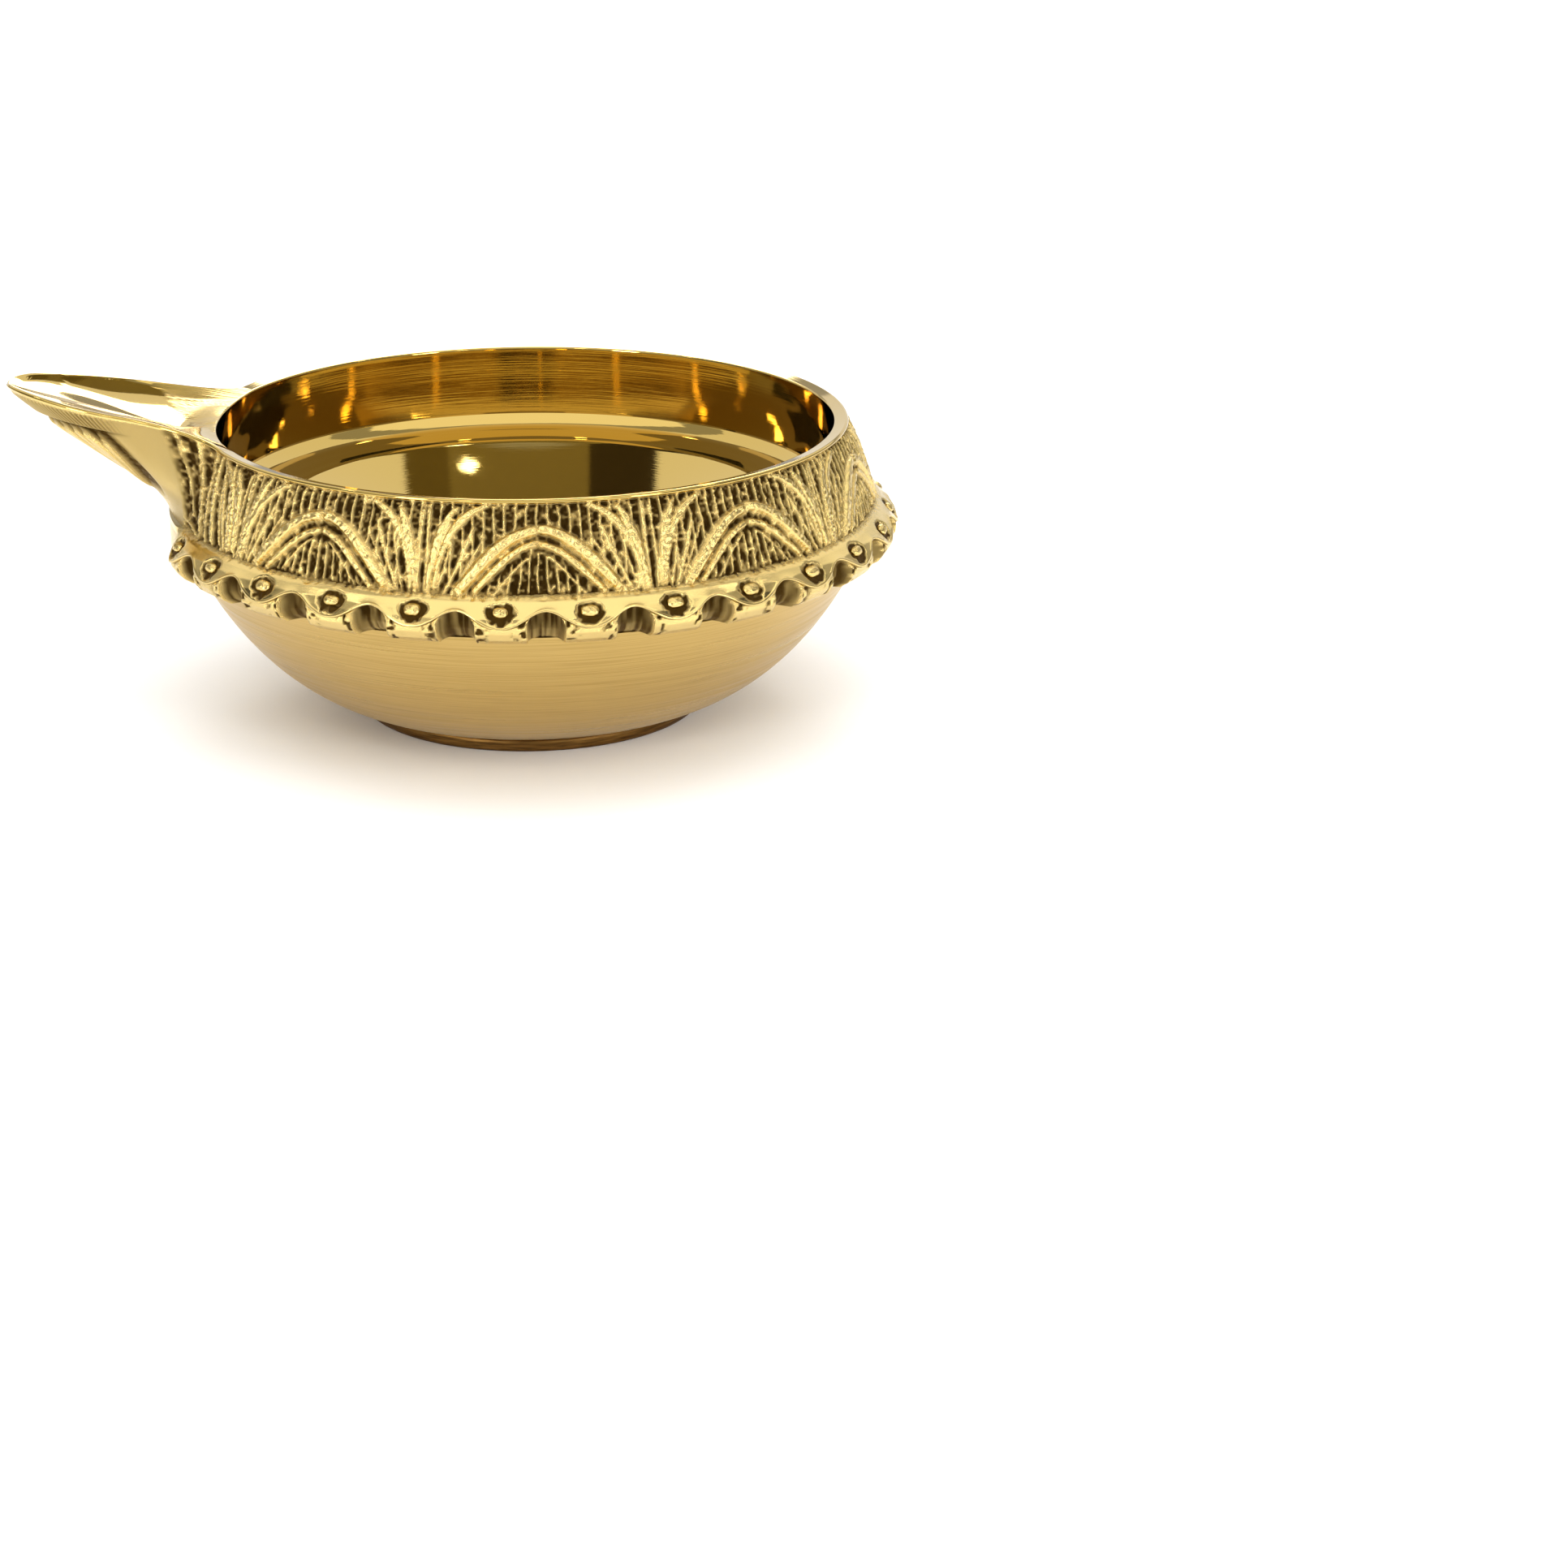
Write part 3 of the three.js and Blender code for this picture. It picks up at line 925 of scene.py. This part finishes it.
@dataclass
class Ornament:
    """The relief of the shoulder wall: arches, leaf fans and hatching on a granular ground."""

    wrap: float = 198.0
    height: float = 7.95
    first_arch: float = 1.2
    hatch_pitch: float = 0.94
    sink: float = 0.4
    beside_neck: tuple[int, int] = (7, 8)

    def motif(self, x: np.ndarray, y: np.ndarray, number: int) -> np.ndarray:
        """Works out one cell: an arch, or long leaves beside the neck, and two half fans.

        Args:
            x: Millimetres from the cell's middle.
            y: Millimetres up the wall.
            number: Which cell it is, counted from the front.

        Returns:
            Height of the lines above the ground.
        """
        rng = np.random.default_rng(40 + number)
        half_cell = self.wrap / MOTIF_COUNT / 2
        away = {self.beside_neck[0]: -1, self.beside_neck[1]: 1}.get(number, 0)
        total = np.zeros_like(x)
        if away:
            for vein in NECK_LEAVES:
                total = np.maximum(total, vein.lift(away * x, y))
        for side in (-1, 1):
            wobble = rng.uniform(-0.14, 0.14, (len(ARCH) + len(FAN), 2))
            if not away:
                for vein, (dx, dy) in zip(ARCH, wobble):
                    total = np.maximum(total, vein.lift(side * x + dx * 0.5, y + dy) * (side * x > -0.6))
            if not away or side == away:
                for vein, (dx, dy) in zip(FAN, wobble[len(ARCH) :]):
                    total = np.maximum(total, vein.lift(half_cell - side * x + dx, y + dy))
        return total

    def hatching(self, x: np.ndarray, y: np.ndarray, around: np.ndarray) -> np.ndarray:
        """Works out the upright strokes above the arches and inside them.

        Args:
            x: Millimetres from the cell's middle.
            y: Millimetres up the wall.
            around: Millimetres round the lamp.

        Returns:
            Height of the strokes above the ground.
        """
        t = np.linspace(0, 1, 40)[:, None]
        outer = bezier([np.array(p) for p in ARCH[0].course], t)
        inner = bezier([np.array(p) for p in ARCH[1].course], t)
        above = y - np.interp(np.abs(x), outer[:, 0], outer[:, 1])
        below = np.interp(np.abs(x), inner[:, 0], inner[:, 1]) - y
        sway = 0.12 * Grain(33, 1.6, self.wrap).at(around, y)
        upper = np.cos(2 * np.pi * (around + sway) / self.hatch_pitch)
        lower = np.cos(2 * np.pi * (x * (1 + 0.06 * y) + sway) / 0.86)
        upper = smooth(0.35, 0.95, upper) * smooth(0.35, 0.7, above) * (1 - smooth(7.78, 7.9, y))
        lower = smooth(0.35, 0.95, lower) * smooth(0.5, 0.9, below) * smooth(0.1, 0.4, y)
        return np.maximum(upper * 0.3, lower * 0.3)

    def at(self, azimuth: np.ndarray, share: np.ndarray) -> tuple[np.ndarray, np.ndarray]:
        """Works out the relief of a stretch of wall.

        Args:
            azimuth: Degrees round the lamp.
            share: From 0 at the band to 1 at the rim.

        Returns:
            The displacement in millimetres, and the relief value from 0 to 1.
        """
        azimuth, share = np.broadcast_arrays(azimuth - self.first_arch, share)
        per_degree = self.wrap / 360
        cell = np.round(azimuth / MOTIF_PITCH)
        x = (azimuth - cell * MOTIF_PITCH) * per_degree
        y = share * self.height
        number = (cell % MOTIF_COUNT).astype(int)
        lines = np.zeros_like(x)
        for i in range(MOTIF_COUNT):
            mine = number == i
            if mine.any():
                lines[mine] = self.motif(x[mine], y[mine], i)
        around = azimuth * per_degree
        low, high = self.beside_neck
        off_neck = np.abs(azimuth % 360 - (low + high) / 2 * MOTIF_PITCH) * per_degree
        plain = 1 - smooth(8.6, 9.6, off_neck)
        by_neck = (number == low) | (number == high)
        strokes = self.hatching(x, y, around) * ~by_neck
        grain = Grain(31, 0.26, self.wrap).at(around, y)
        coarse = Grain(32, 0.6, self.wrap).at(around, y)
        raised = np.maximum(lines, strokes) * (1 - plain)
        on_line = smooth(0.08, 0.34, raised)
        rough = mix(0.16 * grain + 0.11 * coarse, 0.07 * grain, on_line) * (1 - plain)
        sunk = self.sink * (1 - plain)
        move = raised + rough - sunk
        tone = 0.22 + raised * 1.7 + rough * mix(2.6, 1.5, on_line) + 0.36 * plain
        return move, np.clip(tone, 0, 0.88)


@dataclass
class UpperCasting:
    """Shoulder wall, rim and wick spout, which share one flowing surface."""

    ornament: Ornament
    wall_columns: int = 1500
    spout_columns: int = 420
    skin_rows: int = 76
    land_rows: int = 26
    inner_rows: int = 12
    neck_angle: float = 24.0
    base: tuple[float, float] = (32.85, 20.05)
    low_handle: tuple[float, float] = (32.1, 22.9)
    high_handle: tuple[float, float] = (31.1, 25.7)
    rim_edge: tuple[float, float] = (30.15, 27.55)
    mouth: tuple[float, float] = (28.77, 27.47)
    inner_foot: tuple[float, float] = (28.3, 21.05)
    edge_round: float = 0.28
    mouth_round: float = 0.18
    neck_base: tuple[float, float] = (33.45, 19.6)
    tip: tuple[float, float] = (47.87, 31.15)
    tip_handle: tuple[float, float, float] = (-0.17, 3.6, 0.6)
    widest: tuple[float, float, float] = (37.0, 7.45, 29.6)
    widest_handle: tuple[float, float, float] = (6.2, -0.75, 0.93)
    neck_reach: float = 3.8
    rim_reach: float = 3.5
    keel_low: tuple[float, float] = (0.2, 2.8)
    keel_high: tuple[float, float] = (-7.87, -6.75)
    dish_share: float = 0.17
    valley: tuple[float, float] = (0.64, -0.08)
    valley_run: tuple[float, float] = (0.15, 0.85)
    valley_round: float = 2.2
    filed_from: tuple[float, float] = (0.9, 0.27)
    lip_dip: float = 0.3
    wall_back: tuple[float, float] = (30.0, 20.3)
    rim_back: tuple[tuple[float, float], ...] = ((28.9, 26.9), (29.2, 26.9))

    def outline(self, share: np.ndarray) -> np.ndarray:
        """Follows the spout's edge from its tip to the rim.

        Args:
            share: From 0 at the tip to 1 at the rim, as a share of the edge's length.

        Returns:
            Points with the distance from the axis towards the tip, the half width and the height.
        """
        angle = math.radians(self.neck_angle)
        radius, top = self.rim_edge
        end = np.array([radius * math.cos(angle), radius * math.sin(angle), top])
        tangent = np.array([math.sin(angle), -math.cos(angle), 0.1])
        tip = np.array([self.tip[0], 0.0, self.tip[1]])
        widest = np.array(self.widest)
        pull = np.array(self.widest_handle)
        leaf = [tip, tip + self.tip_handle, widest + pull, widest]
        ahead = -pull / np.linalg.norm(pull) * self.neck_reach
        neck = [widest, widest + ahead, end + tangent * self.rim_reach, end]
        t = np.linspace(0, 1, 200)[:, None]
        line = np.concatenate([bezier(leaf, t), bezier(neck, t)[1:]])
        length = np.concatenate([[0], np.cumsum(np.linalg.norm(np.diff(line, axis=0), axis=1))])
        return np.stack([np.interp(share, length / length[-1], line[:, k]) for k in range(3)], axis=-1)

    def columns(self) -> dict[str, np.ndarray]:
        """Sets out every column of the surface, round the wall and then round the spout.

        Returns:
            Named arrays with one entry for each column.
        """
        count = self.wall_columns
        step = (360 - 2 * self.neck_angle) / count
        start = SPOUT_AZIMUTH + self.neck_angle
        along = np.linspace(-1, 1, self.spout_columns + 1)[:-1]
        azimuth = np.concatenate([start + step * np.arange(count), 270 + along * self.neck_angle])
        share = np.concatenate([np.ones(count), np.abs(along)])
        side = np.concatenate([np.ones(count), np.sign(along)])
        base = polar(self.base[0], azimuth, self.base[1])
        edge = polar(self.rim_edge[0], azimuth, self.rim_edge[1])
        low = polar(self.low_handle[0], azimuth, self.low_handle[1])
        high = polar(self.high_handle[0], azimuth, self.high_handle[1])
        spout = slice(count, None)
        mine = share[spout]
        line = self.outline(mine)
        edge[spout] = np.stack([-line[:, 0], -side[spout] * line[:, 1], line[:, 2]], axis=-1)
        ease = smooth(0, 1, mine)
        radius = mix(self.neck_base[0], self.base[0], ease)
        base[spout] = polar(radius, azimuth[spout], mix(self.neck_base[1], self.base[1], ease))
        keel_low, keel_high = np.array(self.keel_low), np.array(self.keel_high)
        wall_low = np.array(self.low_handle) - self.base
        wall_high = np.array(self.high_handle) - self.rim_edge
        lower = mix(keel_low, wall_low, ease[:, None])
        low[spout] = base[spout] + polar(lower[:, 0], azimuth[spout], lower[:, 1])
        upper = mix(keel_high, wall_high, mine[:, None] ** 0.75)
        outward = polar(1.0, azimuth[spout], 0.0)
        tipward = np.array([-1.0, 0.0, 0.0])
        direction = mix(tipward, outward, ease[:, None])
        high[spout] = edge[spout] + direction * upper[:, :1] + np.array([0.0, 0.0, 1.0]) * upper[:, 1:]
        high[spout, 1] += side[spout] * line[:, 1] * 0.1 * (1 - mine)
        mouth = polar(self.mouth[0], azimuth, self.mouth[1])
        mouth[spout, 2] -= self.lip_dip * (1 - mine**2)
        ahead = np.roll(edge, -1, axis=0) - np.roll(edge, 1, axis=0)
        outward = np.stack([ahead[:, 1], -ahead[:, 0], np.zeros_like(side)], axis=-1)
        outward /= np.linalg.norm(outward, axis=1, keepdims=True)
        return {
            "azimuth": azimuth,
            "share": share,
            "base": base,
            "low": low,
            "high": high,
            "edge": edge,
            "mouth": mouth,
            "outward": outward,
        }

    def hull_relief(self, share: np.ndarray, t: np.ndarray) -> tuple[np.ndarray, np.ndarray]:
        """Works out the leaves under the spout.

        Args:
            share: From 0 at the keel to 1 at the wall.
            t: From 0 at the band to 1 at the spout's edge.

        Returns:
            The displacement in millimetres, and the relief value from 0 to 1.
        """
        share, t = np.broadcast_arrays(share, t)
        total = np.zeros(t.shape)
        for leaf in HULL_LEAVES:
            total = np.maximum(total, leaf.lift(share, t))
        ticks = 0.5 + 0.5 * np.cos(2 * np.pi * share * 52)
        tip_plain = smooth(0.02, 0.06, share)
        margin = smooth(0.86, 0.88, t) * (1 - smooth(0.97, 0.985, t)) * (1 - smooth(0.5, 0.6, share))
        groove = np.exp(-(((t - 0.85) / 0.012) ** 2)) * tip_plain
        body = (1 - smooth(0.42, 0.5, share)) * (1 - smooth(0.84, 0.86, t)) * smooth(0.22, 0.4, t)
        grain = Grain(35, 0.012, 1.0).at(share, t * 0.9)
        coarse = Grain(36, 0.03, 1.0).at(share, t * 0.9)
        lines = total * body
        raised = lines + margin * ticks * 0.08 * tip_plain
        rough = (0.05 * grain + 0.05 * coarse) * body * (1 - smooth(0.05, 0.25, lines))
        move = raised * 1.5 - 0.35 * body - 0.16 * groove + rough
        # The groove is really sunk, and its -0.4 tone is painted shade along that line. The body's darker
        # ground and the gaps between ticks are the casting's own tone.
        tone = 0.6 - 0.42 * body + lines * 1.6 + rough * 2.0 - 0.4 * groove - 0.25 * margin * (1 - ticks)
        return move, np.clip(tone, 0, 0.72)

    def hollow(self, land: np.ndarray, in_spout: np.ndarray) -> tuple[np.ndarray, np.ndarray]:
        """Sinks the spout's trough, whose lowest line runs from the far edge to the near one.

        Args:
            land: The flat faces between the edge and the mouth.
            in_spout: Which columns belong to the spout.

        Returns:
            Depth in millimetres, and how far each point is filed rather than polished.
        """
        line = self.outline(np.linspace(1, 0, 300))
        half_width = np.interp(-land[..., 0], line[:, 0], line[:, 1])
        across = np.clip(land[..., 1] / np.maximum(half_width, 0.2), -1, 1)
        lip = np.sqrt(np.maximum(self.mouth[0] ** 2 - land[..., 1] ** 2, 0))
        along = np.clip((self.tip[0] + land[..., 0]) / (self.tip[0] - lip), 0, 1)
        valley = mix(self.valley[0], self.valley[1], smooth(*self.valley_run, along))
        off = (across - valley) * half_width
        far = np.maximum((1 - valley) * half_width, 0.2)
        near = np.maximum((1 + valley) * half_width, 0.2)
        bend = np.minimum(np.minimum(far, near), self.valley_round)
        rise = 0.5 * (1 / far - 1 / near) * off + 0.5 * (1 / far + 1 / near) * np.hypot(off, bend)
        depth = self.dish_share * half_width * np.clip(1 - rise, 0, 1) * (1 - smooth(0.8, 1.0, along))
        start, lean = self.filed_from
        filed = smooth(-0.03, 0.03, along - start + lean * across) * in_spout
        marks = Grain(51, 0.16, 60.0).at(land[..., 1] - 0.35 * land[..., 0], 0.05 * land[..., 0])
        waves = Grain(52, 0.9, 60.0).at(land[..., 1] - 0.35 * land[..., 0], 0.12 * land[..., 0])
        return depth * in_spout + filed * (0.02 * marks + 0.05 * waves), filed

    def surface(self) -> dict[str, Sheet]:
        """Works out the whole visible surface.

        Returns:
            The outer skin, the rounded land or trough, and the inner wall, as full rings.
        """
        c = self.columns()
        row = lambda name: c[name][None]
        t = np.linspace(0, 1, self.skin_rows)[:, None, None]
        skin = bezier([row("base"), row("low"), row("high"), row("edge")], t)
        normals = grid_normals(skin)
        level = t[..., 0]
        move, tone = self.ornament.at(c["azimuth"][None], level)
        hull_move, hull_tone = self.hull_relief(row("share"), level)
        at_wall = smooth(0.42, 0.58, row("share"))
        move = mix(hull_move, move, at_wall) * smooth(0.0, 0.02, level)
        tone = mix(hull_tone, tone, at_wall)
        open_edge = smooth(0.985, 1.0, level)
        skin = skin + normals * (move * (1 - open_edge) - 0.06 * open_edge)[..., None]
        # Rounded edge, then the land or the trough, then the rounded mouth.
        turn = np.linspace(0, np.pi / 2, 6)[1:, None, None]
        centre = row("edge") - self.edge_round * row("outward")
        up = np.array([0.0, 0.0, 1.0])
        corner = centre + self.edge_round * (np.cos(turn) * row("outward") + np.sin(turn) * up)
        q = np.linspace(0, 1, self.land_rows + 1)[1:, None, None]
        inward = polar(1.0, c["azimuth"], 0)[None]
        mouth_in = row("mouth") + up * self.mouth_round + inward * self.mouth_round
        land = mix(corner[-1:], mouth_in, q)
        hollow, filed = self.hollow(land, row("share") < 1)
        land[..., 2] -= hollow
        bend = np.linspace(0, np.pi / 2, 5)[1:, None, None]
        curl = inward * np.sin(bend) + up * (1 - np.cos(bend))
        mouth_edge = mouth_in - self.mouth_round * curl
        depth = np.linspace(0, 1, self.inner_rows + 1)[1:, None]
        radius = mix(self.mouth[0], self.inner_foot[0], depth**1.3)
        z = mix(mouth_edge[-1, :, 2][None], self.inner_foot[1], depth)
        inner = polar(radius, c["azimuth"][None], z)
        whole = np.concatenate([skin, corner, land, mouth_edge, inner])
        plain = np.ones(whole.shape[:2])[self.skin_rows :]
        first = len(corner)
        plain[first : first + len(land)] -= 0.55 * filed
        relief = np.concatenate([mix(tone, 1.0, open_edge), plain])
        sheet = Sheet(whole, grid_normals(whole), relief)
        everything = np.arange(whole.shape[1])
        first_land = self.skin_rows - 1
        first_inner = len(whole) - self.inner_rows - 2
        return {
            "skin": sheet.part(slice(0, self.skin_rows), everything),
            "land": sheet.part(slice(first_land, first_inner + 1), everything),
            "inner": sheet.part(slice(first_inner, None), everything),
            "azimuth": c["azimuth"],
        }

    def build(self, relief: Finish, mirror: Finish) -> None:
        """Builds the wall, the rim and the spout as closed pieces with shared edges.

        Args:
            relief: Finish of the ornamented faces.
            mirror: Finish of the polished faces.
        """
        made = self.surface()
        total = len(made["azimuth"])
        wall = np.arange(self.wall_columns + 1)
        spout = np.arange(self.wall_columns, total + 1) % total
        paints = [relief.material(), mirror.material()]
        wall_back = [self.wall_back]
        casting = self.piece("relief_wall_casting", made, wall, ["skin", "inner"], wall_back, paints)
        finish_piece(casting, ["relief_wall"])
        rim = self.piece("rim_land", made, wall, ["land"], list(self.rim_back), paints)
        finish_piece(rim, ["rim_lip"])
        leaf = self.piece("leaf_spout", made, spout, ["skin", "land", "inner"], wall_back, paints)
        finish_piece(leaf, ["wick_spout"])

    @staticmethod
    def piece(
        name: str, made: dict, columns: np.ndarray, parts: list[str], back: list, paints: list
    ) -> bpy.types.Object:
        """Closes some parts of the surface into one solid piece.

        Args:
            name: The piece's name.
            made: The whole surface, as surface() gives it.
            columns: Which columns the piece takes.
            parts: Which parts it shows, in order.
            back: Radius and height of the hidden rows that close it.
            paints: The ornamented and the polished material.

        Returns:
            The closed piece.
        """
        sheets = [made[part].part(slice(None), columns) for part in parts]
        hidden = np.array(back)
        closing = polar(hidden[:, :1], made["azimuth"][columns][None], hidden[:, 1:])
        rows = [int(part != "skin") for part in parts for _ in made[part].points]
        merged = Sheet.stack(*sheets, Sheet.hidden(closing))
        built = add_mesh(name, [merged], False, rows + [0] * len(back))
        for paint in paints:
            built.data.materials.append(paint)
        return built


# ---------------------------------------------------------------- studio


@dataclass
class Studio:
    """Pale floor, soft light and the camera."""

    floor_half: float = 3.0
    distance: float = 0.3152
    elevation: float = 18.92
    look_at: tuple[float, float, float] = (0.02443, 0.0, -0.00976)
    roll: float = 0.43
    lens: float = 74.53

    def floor(self) -> None:
        """Lays the pale floor that the lamp stands on."""
        half = self.floor_half
        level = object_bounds()[0][2]
        mesh = bpy.data.meshes.new("studio_floor")
        corners = [(-half, -half, level), (half, -half, level), (half, half, level), (-half, half, level)]
        mesh.from_pydata(corners, [], [(0, 1, 2, 3)])
        floor = bpy.data.objects.new("studio_floor", mesh)
        bpy.context.scene.collection.objects.link(floor)
        paint = bpy.data.materials.new("matt_white_paper")
        paint.use_nodes = True
        shader = paint.node_tree.nodes["Principled BSDF"]
        shader.inputs["Base Color"].default_value = grey(0.93)
        shader.inputs["Roughness"].default_value = 0.9
        shader.inputs["Specular IOR Level"].default_value = 0.1
        mesh.materials.append(paint)
        floor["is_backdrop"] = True

    def card(self, name: str, centre: tuple, aim: tuple, size: tuple, colour: str) -> None:
        """Hangs a flat card that the brass reflects.

        Args:
            name: The card's name.
            centre: Its middle in metres.
            aim: The point it faces.
            size: Width and height in metres.
            colour: Its sRGB hex colour.
        """
        half_x, half_y = size[0] / 2, size[1] / 2
        mesh = bpy.data.meshes.new(name)
        corners = [(-half_x, -half_y, 0), (half_x, -half_y, 0), (half_x, half_y, 0), (-half_x, half_y, 0)]
        mesh.from_pydata(corners, [], [(0, 1, 2, 3)])
        turn = (Vector(aim) - Vector(centre)).to_track_quat("Z", "Y")
        mesh.transform(Matrix.Translation(centre) @ turn.to_matrix().to_4x4())
        card = bpy.data.objects.new(name, mesh)
        bpy.context.scene.collection.objects.link(card)
        card.visible_camera = False
        card.visible_shadow = False
        card.visible_diffuse = False
        paint = bpy.data.materials.new(name)
        paint.use_nodes = True
        shader = paint.node_tree.nodes["Principled BSDF"]
        shader.inputs["Base Color"].default_value = linear_rgb(colour)
        shader.inputs["Roughness"].default_value = 1.0
        shader.inputs["Specular IOR Level"].default_value = 0.0
        mesh.materials.append(paint)
        card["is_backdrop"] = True

    def lamp(self, name: str, place: tuple, aim: tuple, size: tuple, radiance: float) -> bpy.types.Object:
        """Adds one softbox.

        Args:
            name: The light's name.
            place: Its middle in metres.
            aim: The point it faces.
            size: Width and height in metres.
            radiance: How bright its face looks, where white paper in full light is one.

        Returns:
            The light.
        """
        data = bpy.data.lights.new(name, "AREA")
        data.shape = "RECTANGLE"
        data.size, data.size_y = size
        data.energy = radiance * math.pi * size[0] * size[1]
        light = bpy.data.objects.new(name, data)
        light.location = place
        light.rotation_euler = (Vector(aim) - Vector(place)).to_track_quat("-Z", "Y").to_euler()
        bpy.context.scene.collection.objects.link(light)
        return light

    def camera(self) -> None:
        """Sets the camera in front of the lamp, a little above it."""
        data = bpy.data.cameras.new("studio_camera")
        data.lens = self.lens
        data.sensor_width = 36.0
        data.clip_start = 0.01
        camera = bpy.data.objects.new("studio_camera", data)
        rise = math.radians(self.elevation)
        place = Vector((0.0, -self.distance * math.cos(rise), self.distance * math.sin(rise)))
        aim = (Vector(self.look_at) - place).to_track_quat("-Z", "Y")
        twist = Matrix.Rotation(math.radians(self.roll), 4, "Z")
        camera.matrix_world = Matrix.Translation(place) @ aim.to_matrix().to_4x4() @ twist
        bpy.context.scene.collection.objects.link(camera)
        bpy.context.scene.camera = camera

    def build(self) -> None:
        """Sets up the floor, the world, the lights and the camera."""
        scene = bpy.context.scene
        scene.view_settings.view_transform = "Standard"
        world = bpy.data.worlds.new("pale_room")
        scene.world = world
        world.use_nodes = True
        world.node_tree.nodes["Background"].inputs["Color"].default_value = grey(1.0)
        world.node_tree.nodes["Background"].inputs["Strength"].default_value = 0.5
        self.floor()
        centre, bowl = (0, 0, 0), (0, 0, 0.02)
        self.lamp("back_softbox", (0.0, 0.64, 0.66), centre, (1.7, 0.7), 0.72)
        self.lamp("back_lamp", (0.065, 0.72, 0.455), (-0.04, 0, 0.03), (0.24, 0.18), 8.0)
        self.lamp("horizon_panel", (0.0, 0.97, 0.22), (0, 0, 0.03), (1.6, 0.28), 0.6)
        self.lamp("top_softbox", (0.0, -0.2, 0.8), centre, (1.1, 0.75), 1.05)
        self.lamp("left_softbox", (-0.44, -0.52, 0.2), bowl, (0.12, 0.2), 24.0)
        self.lamp("right_softbox", (0.44, -0.52, 0.2), bowl, (0.12, 0.2), 18.0)
        self.lamp("front_left_spot", (-0.179, -0.385, 0.424), bowl, (0.04, 0.04), 16.0)
        self.lamp("front_right_spot", (0.21, -0.37, 0.424), bowl, (0.04, 0.04), 16.0)
        self.lamp("left_spot", (-0.28, 0.04, 0.42), bowl, (0.03, 0.03), 14.0)
        self.lamp("right_spot", (0.28, 0.04, 0.42), bowl, (0.03, 0.03), 14.0)
        self.lamp("ceiling_spot", (0.046, 0.2, 0.36), (0, 0.018, 0.017), (0.01, 0.022), 12.0)
        overhead = self.lamp("paper_fill", (0.0, 0.0, 1.5), centre, (2.4, 2.4), 0.9)
        low = self.lamp("low_right_fill", (0.5, -0.35, 0.22), centre, (0.3, 0.3), 5.5)
        overhead.visible_glossy = low.visible_glossy = False
        # Three brown cards side by side overhead are the dark patch that the polished dish mirrors.
        for name, x, width, colour in (
            ("dark_card_left", 0.102, 0.045, "615530"),
            ("dark_card_middle", 0.009, 0.141, "796e48"),
            ("dark_card_right", -0.096, 0.069, "372f21"),
        ):
            self.card(name, (x, 0.32, 0.45), (x, 0.32, 0), (width, 0.26), colour)
        self.card("left_flag", (-0.5, -0.04, 0.27), centre, (0.3, 0.2), "383838")
        self.card("right_flag", (0.46, -0.24, 0.3), centre, (0.45, 0.24), "383838")
        self.camera()


def main() -> None:
    """Builds the pieces in order, then the studio."""
    logging.basicConfig(level=logging.INFO, format="%(message)s")
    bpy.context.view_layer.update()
    relief = ReliefBrass()
    mirror = MirrorBrass()
    Foot().build(FootBrass())
    Bowl().build(SatinBrass())
    Well().build(mirror)
    Band().build(relief)
    UpperCasting(Ornament()).build(relief, mirror)
    Studio().build()


if __name__ == "__main__":
    main()
